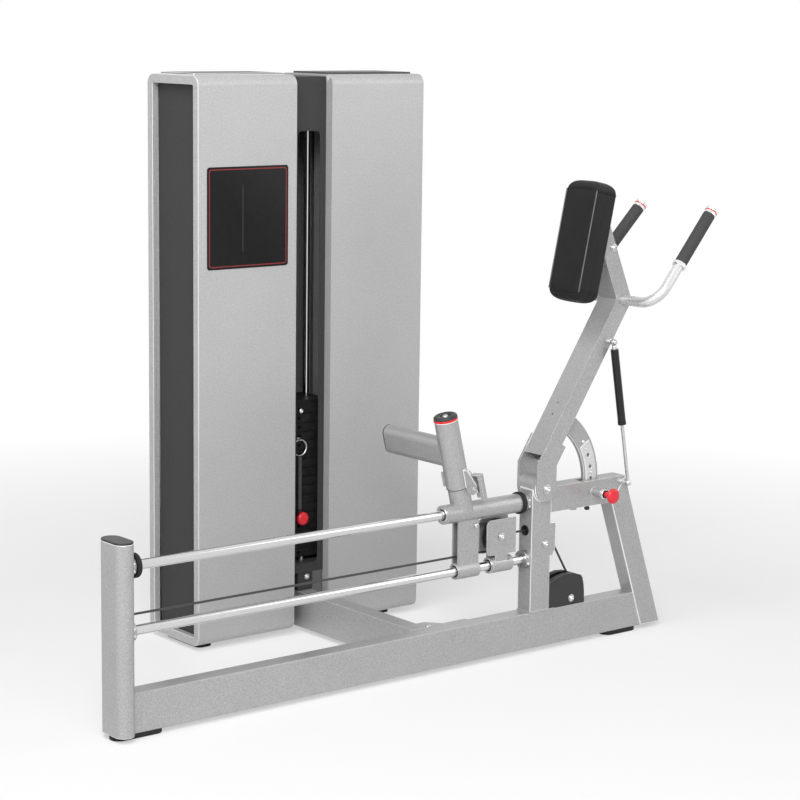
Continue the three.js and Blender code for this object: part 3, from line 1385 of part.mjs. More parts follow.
// Foot bar and lever.
{
  const seam = STUB_HEIGHT + SEAT_GAP;
  const halfHeight = FOOT_BAR_HEIGHT / 2;
  const halfWidth = FOOT_BAR_WIDTH / 2;
  const section = (inset) =>
    roundedOutline(
      -halfWidth + inset, halfWidth - inset,
      FOOT_BAR_CENTRE - halfHeight + inset, FOOT_BAR_CENTRE + halfHeight - inset,
      halfWidth - inset,
    );
  const column = bar([0, 0, seam], [0, 0, SWIVEL_TOP], SWIVEL_RADIUS);
  const foot = extrudeAcrossY(section(0), 0, FOOT_BAR_END);
  const footBore = extrudeAcrossY(section(FOOT_BAR_WALL), SWIVEL_RADIUS, FOOT_BAR_END + OVERRUN);
  const spin = new THREE.Matrix4().makeRotationZ(LEVER_AZIMUTH);
  const turned = (solid) => {
    const geometry = toGeometry(solid);
    geometry.applyMatrix4(spin);
    return toSolid(geometry);
  };
  const hornRoot = SPINDLE_RADIUS + 2 * WELD;
  const besideStub = STUB_RADIUS + 2 * RUN_GAP;
  const horn = outline([
    [besideStub, HORN_ROOT_BOTTOM_HEIGHT],
    [HORN_CHIN_REACH, HORN_CHIN_HEIGHT],
    [HORN_NOSE_REACH, HORN_NOSE_BOTTOM_HEIGHT],
    [HORN_NOSE_REACH, HORN_NOSE_TOP_HEIGHT],
    [HORN_BROW_REACH, HORN_ROOT_TOP_HEIGHT],
    [hornRoot, HORN_ROOT_TOP_HEIGHT],
    [hornRoot, seam],
    [besideStub, seam],
  ]);
  const leverHalf = LEVER_WIDTH / 2;
  const pinHole = bar(
    [LEVER_PIVOT_OUT, -LEVER_WIDTH, LEVER_PIVOT_UP],
    [LEVER_PIVOT_OUT, LEVER_WIDTH, LEVER_PIVOT_UP],
    (LEVER_PIN_RADIUS + SEAT_GAP) / Math.cos(HALF_TURN / SMALL_SIDES),
    SMALL_SIDES,
  );
  const hornSolid = turned(cut(extrudeAcrossY(horn, -leverHalf, HORN_THICKNESS - leverHalf), pinHole));
  const frame = cut(
    join(column, foot, hornSolid),
    bar([0, 0, seam - OVERRUN], [0, 0, SWIVEL_TOP + OVERRUN], SPINDLE_RADIUS + RUN_GAP),
    footBore,
  );
  add(swivel, 'foot_bar_frame', frame, SILVER());

  add(
    swivel,
    'swivel_cap',
    join(
      bar([0, 0, SWIVEL_TOP + SEAT_GAP], [0, 0, SWIVEL_TOP + SEAT_GAP + SWIVEL_CAP_HEIGHT], SWIVEL_RADIUS),
      bar([0, 0, SWIVEL_TOP - SWIVEL_CAP_PLUG], [0, 0, SWIVEL_TOP + SWIVEL_CAP_HEIGHT], SPINDLE_RADIUS),
    ),
    BLACK_PLASTIC(),
  );
  add(
    swivel,
    'foot_bar_cap',
    join(
      extrudeAcrossY(section(0), FOOT_BAR_END + SEAT_GAP, FOOT_BAR_END + SEAT_GAP + FOOT_CAP_THICKNESS),
      extrudeAcrossY(
        section(FOOT_BAR_WALL + SEAT_GAP),
        FOOT_BAR_END - FOOT_CAP_PLUG, FOOT_BAR_END + FOOT_CAP_THICKNESS,
      ),
    ),
    BLACK_PLASTIC(),
  );

  // The lever is a channel open on its near side, with its far flange beside the horn.
  const lever = join(
    box(
      LEVER_OUTER_REACH - LEVER_FACE_THICKNESS, LEVER_OUTER_REACH,
      -leverHalf, leverHalf,
      LEVER_BOTTOM_HEIGHT, LEVER_TOP_HEIGHT,
    ),
    box(
      LEVER_INNER_REACH, LEVER_OUTER_REACH - WELD,
      leverHalf - LEVER_WALL, leverHalf,
      LEVER_BOTTOM_HEIGHT, LEVER_TOP_HEIGHT,
    ),
    box(
      LEVER_HEAD_REACH, LEVER_OUTER_REACH - WELD,
      -leverHalf, leverHalf,
      LEVER_TOP_HEIGHT - LEVER_WALL, LEVER_TOP_HEIGHT,
    ),
    bar(
      [LEVER_PIVOT_OUT, -leverHalf - WELD, LEVER_PIVOT_UP],
      [LEVER_PIVOT_OUT, leverHalf + WELD, LEVER_PIVOT_UP],
      LEVER_PIN_RADIUS,
      SMALL_SIDES,
    ),
  );
  add(swivel, 'release_lever', turned(lever), SILVER());
}

// Trolley.
startAssembly('trolley');
{
  const end = TROLLEY_START + TROLLEY_LENGTH;
  const outside = TROLLEY_GAP_HALF + TROLLEY_PLATE;
  const foot = LOWER_ROD_Z + LOWER_SLEEVE_RADIUS + TROLLEY_LIFT;
  const shape = new THREE.Shape();
  shape.moveTo(TROLLEY_START + TROLLEY_CORNER, foot);
  shape.lineTo(end, foot);
  shape.lineTo(end, TROLLEY_TOP);
  shape.lineTo(TROLLEY_START + TROLLEY_CORNER, TROLLEY_TOP);
  shape.absarc(
    TROLLEY_START + TROLLEY_CORNER, TROLLEY_TOP - TROLLEY_CORNER, TROLLEY_CORNER,
    QUARTER_TURN, HALF_TURN, false,
  );
  shape.lineTo(TROLLEY_START, foot + TROLLEY_CORNER);
  shape.absarc(
    TROLLEY_START + TROLLEY_CORNER, foot + TROLLEY_CORNER, TROLLEY_CORNER,
    HALF_TURN, HALF_TURN + QUARTER_TURN, false,
  );
  const sleeve = bar(
    [TROLLEY_SLEEVE_START, 0, LOWER_ROD_Z],
    [TROLLEY_SLEEVE_START + TROLLEY_SLEEVE_LENGTH, 0, LOWER_ROD_Z],
    LOWER_SLEEVE_RADIUS,
  );
  // A saddle joins each plate's foot to the sleeve.
  const saddle = box(
    TROLLEY_TAB_START, TROLLEY_TAB_START + TROLLEY_TAB_LENGTH,
    -outside, outside,
    LOWER_ROD_Z, foot + WELD,
  );
  const web = box(
    end - TROLLEY_WEB, end,
    -outside + WELD, outside - WELD,
    MAIN_CABLE_Z - TROLLEY_CORNER, MAIN_CABLE_Z + TROLLEY_CORNER,
  );
  const trolley = cut(
    join(
      sleeve,
      cut(saddle, box(
        TROLLEY_START, end,
        -TROLLEY_GAP_HALF, TROLLEY_GAP_HALF,
        LOWER_ROD_Z + LOWER_SLEEVE_RADIUS, TROLLEY_TOP,
      )),
      extrudeAcrossY(shape, -outside, -TROLLEY_GAP_HALF),
      extrudeAcrossY(shape, TROLLEY_GAP_HALF, outside),
      web,
    ),
    bar(
      [TROLLEY_SLEEVE_START - OVERRUN, 0, LOWER_ROD_Z],
      [TROLLEY_SLEEVE_START + TROLLEY_SLEEVE_LENGTH + OVERRUN, 0, LOWER_ROD_Z],
      LOWER_LINER_RADIUS,
    ),
    bar(
      [TROLLEY_PULLEY_X, -TUBE_WIDTH, MAIN_CABLE_Z],
      [TROLLEY_PULLEY_X, TUBE_WIDTH, MAIN_CABLE_Z],
      AXLE_HOLE_RADIUS,
      SMALL_SIDES,
    ),
  );
  put('trolley_frame', trolley, SILVER());
  liner('trolley_bearing', TROLLEY_SLEEVE_START, TROLLEY_SLEEVE_LENGTH, LOWER_ROD_Z, LOWER_LINER_RADIUS);
  put('trolley_pulley', pulley([TROLLEY_PULLEY_X, 0, MAIN_CABLE_Z], [0, 1, 0], outside), BLACK_PLASTIC());
}

// Arm, pad post and clevis.
startAssembly('arm');
// Places on the arm: how far up it from the pivot, and how far behind its line.
const armUp = [Math.sin(ARM_TILT), Math.cos(ARM_TILT)];
const armBack = [Math.cos(ARM_TILT), -Math.sin(ARM_TILT)];
const onArm = (up, back) => [
  PIVOT_X + up * armUp[0] + back * armBack[0],
  PIVOT_Z + up * armUp[1] + back * armBack[1],
];
const armFront = -ARM_OFFSET - ARM_DEPTH / 2;
const armRear = -ARM_OFFSET + ARM_DEPTH / 2;
// The mitre halves the angle between the arm and the pad post.
const mitreSlope = Math.tan((ARM_TILT - PAD_POST_TILT) / 2);
const mitreFront = ARM_MITRE - (ARM_DEPTH / 2) * mitreSlope;
const mitreRear = ARM_MITRE + (ARM_DEPTH / 2) * mitreSlope;
const handlePlace = onArm(ARM_MITRE, -ARM_OFFSET);
const gasTop = onArm(GAS_TOP_UP, -GAS_TOP_SETBACK);

const padPlace = [handlePlace[0] - PAD_SETBACK, handlePlace[1] + PAD_RISE];
const padNormal = [Math.cos(PAD_TILT), -Math.sin(PAD_TILT)];
const padUp = [Math.sin(PAD_TILT), Math.cos(PAD_TILT)];
const onPad = (up, back) => [
  padPlace[0] + up * padUp[0] + back * padNormal[0],
  padPlace[1] + up * padUp[1] + back * padNormal[1],
];
const plateFront = PAD_THICKNESS + SEAT_GAP;
const plateRear = plateFront + PAD_PLATE_THICKNESS;

// Where a line up the pad post meets the plane of the pad plate.
function postMeetsPlate(from, depth) {
  const up = [Math.sin(PAD_POST_TILT), Math.cos(PAD_POST_TILT)];
  const target = onPad(0, depth);
  const along = padNormal[0] * up[0] + padNormal[1] * up[1];
  const gap = padNormal[0] * (target[0] - from[0]) + padNormal[1] * (target[1] - from[1]);
  const share = gap / along;
  return [from[0] + up[0] * share, from[1] + up[1] * share];
}

{
  const frontCorner = onArm(mitreFront, armFront);
  const rearCorner = onArm(mitreRear, armRear);
  const armShape = outline([
    onArm(ARM_START, armFront),
    onArm(ARM_START, armRear),
    rearCorner,
    postMeetsPlate(rearCorner, plateRear - WELD),
    postMeetsPlate(frontCorner, plateRear - WELD),
    frontCorner,
  ]);
  const innerFront = onArm(mitreFront + TUBE_WALL * mitreSlope, armFront + TUBE_WALL);
  const innerRear = onArm(mitreRear - TUBE_WALL * mitreSlope, armRear - TUBE_WALL);
  const armBore = outline([
    onArm(ARM_START - OVERRUN, armFront + TUBE_WALL),
    onArm(ARM_START - OVERRUN, armRear - TUBE_WALL),
    innerRear,
    postMeetsPlate(innerRear, plateRear + TUBE_WALL),
    postMeetsPlate(innerFront, plateRear + TUBE_WALL),
    innerFront,
  ]);
  const armTube = cut(
    extrudeAcrossY(armShape, -ARM_WIDTH / 2, ARM_WIDTH / 2),
    extrudeAcrossY(armBore, -ARM_WIDTH / 2 + TUBE_WALL, ARM_WIDTH / 2 - TUBE_WALL),
  );
  const padMiddle = (postMeetsPlate(rearCorner, plateRear)[1] + postMeetsPlate(frontCorner, plateRear)[1]) / 2;
  const plateUp = (padMiddle - padPlace[1]) / padUp[1];
  const padPlate = outline([
    onPad(plateUp - PAD_PLATE_LENGTH / 2, plateFront),
    onPad(plateUp - PAD_PLATE_LENGTH / 2, plateRear),
    onPad(plateUp + PAD_PLATE_LENGTH / 2, plateRear),
    onPad(plateUp + PAD_PLATE_LENGTH / 2, plateFront),
  ].reverse());

  // Clevis plates drop from the arm's sides to the pivot, off the arm's own line.
  const clevis = new THREE.Shape();
  const frontLine = armFront - CLEVIS_FRONT_LIP;
  const rearLine = armRear + CLEVIS_REAR_LIP;
  const lineUpTo = (offsetX, line) => (offsetX - line / armBack[0]) / Math.tan(ARM_TILT);
  clevis.absarc(PIVOT_X, PIVOT_Z, CLEVIS_RADIUS, HALF_TURN, FULL_TURN, false);
  clevis.lineTo(PIVOT_X + CLEVIS_RADIUS, PIVOT_Z + lineUpTo(CLEVIS_RADIUS, rearLine));
  clevis.lineTo(...onArm(CLEVIS_TOP, rearLine));
  clevis.lineTo(...onArm(CLEVIS_TOP, frontLine));
  clevis.lineTo(PIVOT_X - CLEVIS_RADIUS, PIVOT_Z + lineUpTo(-CLEVIS_RADIUS, frontLine));
  clevis.closePath();
  const inside = ARM_WIDTH / 2 - WELD;
  const outside = ARM_WIDTH / 2 + CLEVIS_THICKNESS;
  const pivotHole = bar(
    [PIVOT_X, -outside - OVERRUN, PIVOT_Z],
    [PIVOT_X, outside + OVERRUN, PIVOT_Z],
    PIVOT_BOLT_RADIUS + SEAT_GAP,
  );
  const handleHole = bar(
    [handlePlace[0], -ARM_WIDTH, handlePlace[1]],
    [handlePlace[0], ARM_WIDTH, handlePlace[1]],
    HANDLE_RADIUS + SEAT_GAP,
  );
  const gasStud = bar(
    [gasTop[0], -ARM_WIDTH / 2 + WELD, gasTop[1]],
    [gasTop[0], -GAS_Y + GAS_EYE_WIDTH / 2 + SEAT_GAP, gasTop[1]],
    GAS_STUD_RADIUS,
    SMALL_SIDES,
  );
  const padBoltPlace = [handlePlace[0] - PAD_BOLT_SETBACK, handlePlace[1] + PAD_BOLT_RISE];
  const padBolt = bar(
    [padBoltPlace[0], -ARM_WIDTH / 2 - AXLE_HEAD_HEIGHT * 2, padBoltPlace[1]],
    [padBoltPlace[0], -ARM_WIDTH / 2 + WELD, padBoltPlace[1]],
    AXLE_HEAD_RADIUS,
    SMALL_SIDES,
  );
  const faceHoles = [FACE_HOLE_UP, FACE_HOLE_UP + FACE_HOLE_SPACING].map((up) => {
    const a = onArm(up, armFront - OVERRUN);
    const b = onArm(up, armFront + TUBE_WALL + OVERRUN);
    return bar([a[0], 0, a[1]], [b[0], 0, b[1]], FACE_HOLE_RADIUS, SMALL_SIDES);
  });
  const arm = cut(
    join(
      armTube,
      extrudeAcrossY(padPlate, -PAD_PLATE_WIDTH / 2, PAD_PLATE_WIDTH / 2),
      extrudeAcrossY(clevis, -outside, -inside),
      extrudeAcrossY(clevis, inside, outside),
      gasStud,
      padBolt,
    ),
    pivotHole,
    handleHole,
    ...faceHoles,
  );
  put('arm_frame', arm, SILVER());

  const washerStart = outside + SEAT_GAP;
  const headStart = washerStart + PIVOT_WASHER_HEIGHT;
  const both = (near, far, radius, sides) =>
    [-1, 1].map((side) =>
      bar([PIVOT_X, side * near, PIVOT_Z], [PIVOT_X, side * far, PIVOT_Z], radius, sides),
    );
  put(
    'pivot_bolt',
    join(
      bar([PIVOT_X, -headStart, PIVOT_Z], [PIVOT_X, headStart, PIVOT_Z], PIVOT_BOLT_RADIUS),
      ...both(washerStart, headStart, PIVOT_WASHER_RADIUS, ROUND_SIDES),
      ...both(headStart - WELD, headStart + PIVOT_HEAD_HEIGHT, PIVOT_HEAD_RADIUS, SMALL_SIDES),
    ),
    CHROME(),
  );
}

// Quadrant and pull pin.
{
  const seat = armRear + SEAT_GAP;
  const armAngle = QUARTER_TURN - ARM_TILT;
  const meetAngle = (radius) => armAngle - Math.asin(seat / radius);
  const sector = new THREE.Shape();
  sector.absarc(PIVOT_X, PIVOT_Z, QUADRANT_OUTER_RADIUS, QUADRANT_END, meetAngle(QUADRANT_OUTER_RADIUS), false);
  sector.absarc(PIVOT_X, PIVOT_Z, QUADRANT_INNER_RADIUS, meetAngle(QUADRANT_INNER_RADIUS), QUADRANT_END, true);
  sector.closePath();
  const strip = new THREE.Shape();
  const stripInner = QUADRANT_INNER_RADIUS + QUADRANT_STRIP_INSET;
  const stripOuter = QUADRANT_OUTER_RADIUS - QUADRANT_STRIP_INSET;
  strip.absarc(PIVOT_X, PIVOT_Z, stripOuter, QUADRANT_STRIP_START, QUADRANT_STRIP_END, false);
  strip.absarc(PIVOT_X, PIVOT_Z, stripInner, QUADRANT_STRIP_END, QUADRANT_STRIP_START, true);
  strip.closePath();
  const curved = (shape, y0, y1) => {
    const geometry = new THREE.ExtrudeGeometry(shape, {
      depth: y1 - y0,
      bevelEnabled: false,
      curveSegments: 3 * CORNER_STEPS,
    });
    geometry.rotateX(QUARTER_TURN);
    geometry.translate(0, y1, 0);
    return toSolid(geometry);
  };
  const holes = Array.from({ length: QUADRANT_HOLE_COUNT }, (_, index) => {
    const [x, z] = quadrantPoint(QUADRANT_HOLE_CIRCLE_RADIUS, QUADRANT_REST + index * QUADRANT_STEP);
    return bar([x, -ARM_WIDTH, z], [x, ARM_WIDTH, z], QUADRANT_HOLE_RADIUS, MID_SIDES);
  });
  put(
    'adjuster_quadrant',
    cut(
      join(
        curved(sector, -quadrantHalf, quadrantHalf),
        curved(strip, -quadrantFace, -quadrantHalf + WELD),
      ),
      ...holes,
    ),
    SILVER(),
  );

  const housingEnd = -SIDE_Y - PULL_HOUSING_LENGTH - SEAT_GAP;
  const stemEnd = housingEnd - PULL_STEM_LENGTH;
  const [x, z] = pinPlace;
  const knobProfile = PULL_KNOB_SHARES.map(([out, along]) => [
    out * PULL_KNOB_RADIUS,
    along * PULL_KNOB_LENGTH,
  ]);
  put(
    'pull_pin',
    join(
      bar([x, stemEnd, z], [x, -quadrantFace - SEAT_GAP, z], PULL_PIN_RADIUS, MID_SIDES),
      bar([x, stemEnd - WELD, z], [x, housingEnd, z], PULL_STEM_RADIUS),
      revolve(knobProfile, [x, stemEnd, z], [0, -1, 0]),
    ),
    RED_PLASTIC(),
  );
}

// Gas spring.
{
  const top = new THREE.Vector3(gasTop[0], -GAS_Y, gasTop[1]);
  const bottom = new THREE.Vector3(gasBottomX, -GAS_Y, GAS_BOTTOM_Z);
  const down = bottom.clone().sub(top).normalize();
  const at = (distance) => top.clone().addScaledVector(down, distance).toArray();
  const length = top.distanceTo(bottom);
  const cylinderEnd = GAS_CYLINDER_START + GAS_CYLINDER_LENGTH;
  const eye = (x, z) =>
    bar([x, -GAS_Y - GAS_EYE_WIDTH / 2, z], [x, -GAS_Y + GAS_EYE_WIDTH / 2, z], GAS_EYE_RADIUS, MID_SIDES);
  put(
    'gas_cylinder',
    cut(
      join(
        bar(at(GAS_CYLINDER_START), at(cylinderEnd), GAS_CYLINDER_RADIUS),
        bar(at(0), at(GAS_CYLINDER_START + WELD), GAS_ROD_RADIUS, SMALL_SIDES),
        eye(...gasTop),
      ),
      bar(
        at(GAS_CYLINDER_START + GAS_BORE_FLOOR),
        at(cylinderEnd + OVERRUN),
        GAS_ROD_RADIUS + RUN_GAP,
        MID_SIDES,
      ),
    ),
    BLACK_PLASTIC(),
  );
  put(
    'gas_rod',
    join(
      bar(at(cylinderEnd - GAS_ROD_HOLD), at(length), GAS_ROD_RADIUS, MID_SIDES),
      eye(gasBottomX, GAS_BOTTOM_Z),
    ),
    CHROME(),
  );
}

// Handles and grips.
const gripDirection = (side) =>
  new THREE.Vector3(
    Math.cos(HANDLE_RISE) * Math.cos(HANDLE_TOE_IN),
    -side * Math.sin(HANDLE_TOE_IN),
    Math.sin(HANDLE_RISE) * Math.cos(HANDLE_TOE_IN),
  );
const handleCorner = (side) =>
  new THREE.Vector3(handlePlace[0], side * HANDLE_HALF_WIDTH, handlePlace[1]);
const onGrip = (side, fromTip) =>
  handleCorner(side).addScaledVector(gripDirection(side), HANDLE_LENGTH - fromTip);

{
  const bend = (side) => {
    const sideways = new THREE.Vector3(0, side, 0);
    const upwards = gripDirection(side);
    const turn = sideways.angleTo(upwards);
    const tangent = HANDLE_BEND * Math.tan(turn / 2);
    const start = handleCorner(side).addScaledVector(sideways, -tangent);
    const inward = upwards.clone().addScaledVector(sideways, -upwards.dot(sideways)).normalize();
    const centre = start.clone().addScaledVector(inward, HANDLE_BEND);
    const arc = arcPoints(centre, HANDLE_BEND, inward.clone().negate(), sideways, 0, turn, HANDLE_BEND_STEPS);
    return [...arc, onGrip(side, GRIP_CAP_FLARE)];
  };
  const route = [...bend(1).reverse(), ...bend(-1)];
  const tube = sweep(route, HANDLE_RADIUS, HANDLE_RADIUS - HANDLE_WALL, HANDLE_SIDES);
  const bore = HANDLE_RADIUS - HANDLE_WALL;
  const inWall = bore + WELD;
  const trim = (side, profile) =>
    revolve(
      [...profile, profile[0]],
      onGrip(side, 0).toArray(),
      gripDirection(side).negate().toArray(),
      MID_SIDES,
    );
  const collarStart = GRIP_CAP_LENGTH + GRIP_LENGTH + 2 * SEAT_GAP;
  const collarEnd = collarStart + GRIP_COLLAR_LENGTH;
  const cap = [
    [inWall, 0],
    [GRIP_CAP_RADIUS + GRIP_CAP_FLARE, 0],
    [GRIP_CAP_RADIUS, GRIP_CAP_LENGTH / 3],
    [GRIP_CAP_RADIUS, GRIP_CAP_LENGTH],
    [inWall, GRIP_CAP_LENGTH],
  ];
  const collar = [
    [inWall, collarStart],
    [GRIP_COLLAR_RADIUS, collarStart],
    [GRIP_COLLAR_RADIUS, collarEnd],
    [inWall, collarEnd],
  ];
  const ends = [-1, 1].flatMap((side) => [trim(side, cap), trim(side, collar)]);
  put('handle_bar', join(tube, ...ends), SILVER());
  for (const [name, side] of [['grip_near', -1], ['grip_far', 1]]) {
    const from = onGrip(side, GRIP_CAP_LENGTH + SEAT_GAP + GRIP_LENGTH).toArray();
    const to = onGrip(side, GRIP_CAP_LENGTH + SEAT_GAP).toArray();
    put(name, ring(from, to, GRIP_RADIUS, HANDLE_RADIUS + SEAT_GAP, MID_SIDES), GRIP_RUBBER());
  }
}

// Chest pad.
// Rings of a rounded rectangle along the pad, drawn in over the domed ends.
{
  const quarter = Array.from(
    { length: PAD_CORNER_STEPS + 1 },
    (_, step) => (step / PAD_CORNER_STEPS) * QUARTER_TURN,
  );
  const halfWidth = PAD_WIDTH / 2;
  const halfDepth = PAD_THICKNESS / 2;
  const section = (drawIn, crown) => {
    const points = [];
    const corners = [[1, 1], [-1, 1], [-1, -1], [1, -1]];
    corners.forEach(([sideY, sideX], turns) => {
      for (const angle of quarter) {
        const a = angle + turns * QUARTER_TURN;
        const y = sideY * (halfWidth - PAD_CORNER) + PAD_CORNER * Math.cos(a);
        const x = sideX * (halfDepth - PAD_CORNER) + PAD_CORNER * Math.sin(a);
        const shareY = y / halfWidth;
        const bulge = x < 0 ? crown * (shareY * shareY) : 0;
        points.push([y * drawIn, x * drawIn + bulge]);
      }
    });
    return points;
  };
  const half = PAD_STRAIGHT / 2;
  const levels = [];
  for (let step = PAD_DOME_RING_COUNT; step > 0; step -= 1) {
    const share = Math.sin((step / PAD_DOME_RING_COUNT) * QUARTER_TURN * PAD_DOME_TURN_SHARE);
    levels.push([-half - PAD_DOME * share, Math.sqrt(1 - share * share)]);
  }
  for (let step = 0; step < PAD_RING_COUNT; step += 1) {
    levels.push([-half + (PAD_STRAIGHT * step) / (PAD_RING_COUNT - 1), 1]);
  }
  for (let step = 1; step <= PAD_DOME_RING_COUNT; step += 1) {
    const share = Math.sin((step / PAD_DOME_RING_COUNT) * QUARTER_TURN * PAD_DOME_TURN_SHARE);
    levels.push([half + PAD_DOME * share, Math.sqrt(1 - share * share)]);
  }
  const positions = [];
  const count = section(1, 0).length;
  for (const [height, drawIn] of levels) {
    const share = Math.min(Math.abs(height) / half, 1);
    const crown = PAD_CROWN * (1 - share * share) + PAD_CROWN;
    for (const [y, x] of section(Math.pow(drawIn, PAD_DRAW_SHARE), crown * drawIn)) {
      const back = x + halfDepth;
      const place = onPad(height, back);
      positions.push(place[0], y, place[1]);
    }
  }
  const faces = [];
  levels.slice(1).forEach((_, level) => {
    for (let step = 0; step < count; step += 1) {
      const next = (step + 1) % count;
      const a = level * count + step;
      const b = level * count + next;
      faces.push(a, a + count, b, b, a + count, b + count);
    }
  });
  const lastRing = (levels.length - 1) * count;
  for (let step = 1; step < count - 1; step += 1) {
    faces.push(0, step, step + 1);
    faces.push(lastRing, lastRing + step + 1, lastRing + step);
  }
  const geometry = new THREE.BufferGeometry();
  geometry.setAttribute('position', new THREE.Float32BufferAttribute(positions, 3));
  geometry.setIndex(faces);
  let pad = toSolid(geometry);
  if (pad.volume() < 0) {
    for (let face = 0; face < faces.length; face += 3) {
      [faces[face], faces[face + 1]] = [faces[face + 1], faces[face]];
    }
    geometry.setIndex(faces);
    pad = toSolid(geometry);
  }
  put('chest_pad', pad, VINYL());
}

// Cables.
startAssembly('cables');
const xAxis = new THREE.Vector3(1, 0, 0);
const yAxis = new THREE.Vector3(0, 1, 0);
const zAxis = new THREE.Vector3(0, 0, 1);
const CABLE_SIDES = 6;
const CABLE_ARC_STEPS = 6;
const point = (x, y, z) => new THREE.Vector3(x, y, z);

{
  const lowZ = MAIN_CABLE_Z - CABLE_TRACK_RADIUS;
  const highZ = MAIN_CABLE_Z + CABLE_TRACK_RADIUS;
  const anchorX = BRACKET_START + BRACKET_LENGTH - ANCHOR_INSET;
  const around = arcPoints(
    point(TROLLEY_PULLEY_X, 0, MAIN_CABLE_Z),
    CABLE_TRACK_RADIUS, xAxis, zAxis,
    -QUARTER_TURN, QUARTER_TURN, CABLE_ARC_STEPS * 2,
  );
  const route = [
    point(POST_REAR + SEAT_GAP, 0, lowZ),
    ...around,
    point(anchorX + ANCHOR_RADIUS + SEAT_GAP, 0, highZ),
  ];
  put('front_cable', sweep(route, CABLE_RADIUS, 0, CABLE_SIDES), CABLE_BLACK());
}

{
  const fall = Math.atan2(UPRIGHT_PULLEY_Z - BASE_PULLEY_Z, BASE_PULLEY_X - UPRIGHT_PULLEY_X);
  const offLine = QUARTER_TURN - fall;
  const overUpright = arcPoints(
    point(UPRIGHT_PULLEY_X, 0, UPRIGHT_PULLEY_Z),
    CABLE_TRACK_RADIUS, xAxis, zAxis,
    QUARTER_TURN, offLine, CABLE_ARC_STEPS,
  );
  const underBase = arcPoints(
    point(BASE_PULLEY_X, 0, BASE_PULLEY_Z),
    CABLE_TRACK_RADIUS, xAxis, zAxis,
    offLine, -QUARTER_TURN, CABLE_ARC_STEPS * 2,
  );
  const turnToTower = arcPoints(
    point(TURN_PULLEY_X, TURN_PULLEY_Y, BEAM_CABLE_Z),
    CABLE_TRACK_RADIUS, xAxis, yAxis,
    -QUARTER_TURN, -HALF_TURN, CABLE_ARC_STEPS,
  );
  const underStack = arcPoints(
    point(TOWER_CENTRE_X, LIFT_PULLEY_Y, STACK_PULLEY_Z),
    CABLE_TRACK_RADIUS, yAxis, zAxis,
    -QUARTER_TURN, 0, CABLE_ARC_STEPS,
  );
  const overTop = arcPoints(
    point(TOWER_CENTRE_X, LIFT_PULLEY_Y, TOP_PULLEY_Z),
    CABLE_TRACK_RADIUS, yAxis, zAxis,
    0, HALF_TURN, CABLE_ARC_STEPS * 2,
  );
  const route = [
    point(TROLLEY_START + TROLLEY_LENGTH + SEAT_GAP, 0, MAIN_CABLE_Z),
    ...overUpright,
    ...underBase,
    ...turnToTower,
    ...underStack,
    ...overTop,
    point(TOWER_CENTRE_X, STACK_Y, headTopZ + STEM_HEAD_HEIGHT + SEAT_GAP),
  ];
  put('lift_cable', sweep(route, CABLE_RADIUS, 0, CABLE_SIDES), CABLE_BLACK());
}

export default machine;
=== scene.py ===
"""A standing glute machine: finishes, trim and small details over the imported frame, in a pale studio."""
import json
import math

import bmesh
import bpy
from mathutils import Matrix, Vector


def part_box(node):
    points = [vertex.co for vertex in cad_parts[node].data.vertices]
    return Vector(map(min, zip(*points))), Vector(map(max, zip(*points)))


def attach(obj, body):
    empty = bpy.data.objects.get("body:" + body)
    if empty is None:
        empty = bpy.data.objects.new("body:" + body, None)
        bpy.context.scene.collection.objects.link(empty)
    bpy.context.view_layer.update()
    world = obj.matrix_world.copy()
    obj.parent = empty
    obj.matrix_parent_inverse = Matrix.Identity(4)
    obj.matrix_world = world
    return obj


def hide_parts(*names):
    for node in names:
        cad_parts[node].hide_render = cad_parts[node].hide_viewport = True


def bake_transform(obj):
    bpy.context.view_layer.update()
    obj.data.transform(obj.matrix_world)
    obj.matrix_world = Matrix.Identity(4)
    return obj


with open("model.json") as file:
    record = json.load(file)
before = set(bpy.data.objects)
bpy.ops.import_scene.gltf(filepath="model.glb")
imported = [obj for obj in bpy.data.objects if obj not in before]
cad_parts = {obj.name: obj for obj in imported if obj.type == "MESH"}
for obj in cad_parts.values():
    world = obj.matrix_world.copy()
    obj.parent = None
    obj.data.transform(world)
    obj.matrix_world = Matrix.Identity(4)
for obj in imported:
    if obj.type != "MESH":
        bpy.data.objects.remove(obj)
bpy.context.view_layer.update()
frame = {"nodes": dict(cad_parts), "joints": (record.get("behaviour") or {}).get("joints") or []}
NODES = frame["nodes"]
SCENE = bpy.context.scene
JOINTS = {joint["name"]: joint for joint in frame["joints"]}
X, Y, Z = Vector((1, 0, 0)), Vector((0, 1, 0)), Vector((0, 0, 1))
SIDES = ((-1, "near"), (1, "far"))


def joint_place(name):
    return Vector(JOINTS[name]["pos_m"])


def joint_axis(name):
    return Vector(JOINTS[name]["axis"])


def placed(name, data):
    """A new object in the scene that shows this data."""
    made = bpy.data.objects.new(name, data)
    SCENE.collection.objects.link(made)
    return made


def smooth(data):
    for polygon in data.polygons:
        polygon.use_smooth = True


# Camera
AZIMUTH, ELEVATION, ROLL = (math.radians(angle) for angle in (-38.908, 9.541, 0.766))
CAMERA_PLACE = (-2.7501, -4.4499, 1.6939)
LENS, SENSOR_WIDTH = 102.716, 36
FARTHEST = 60


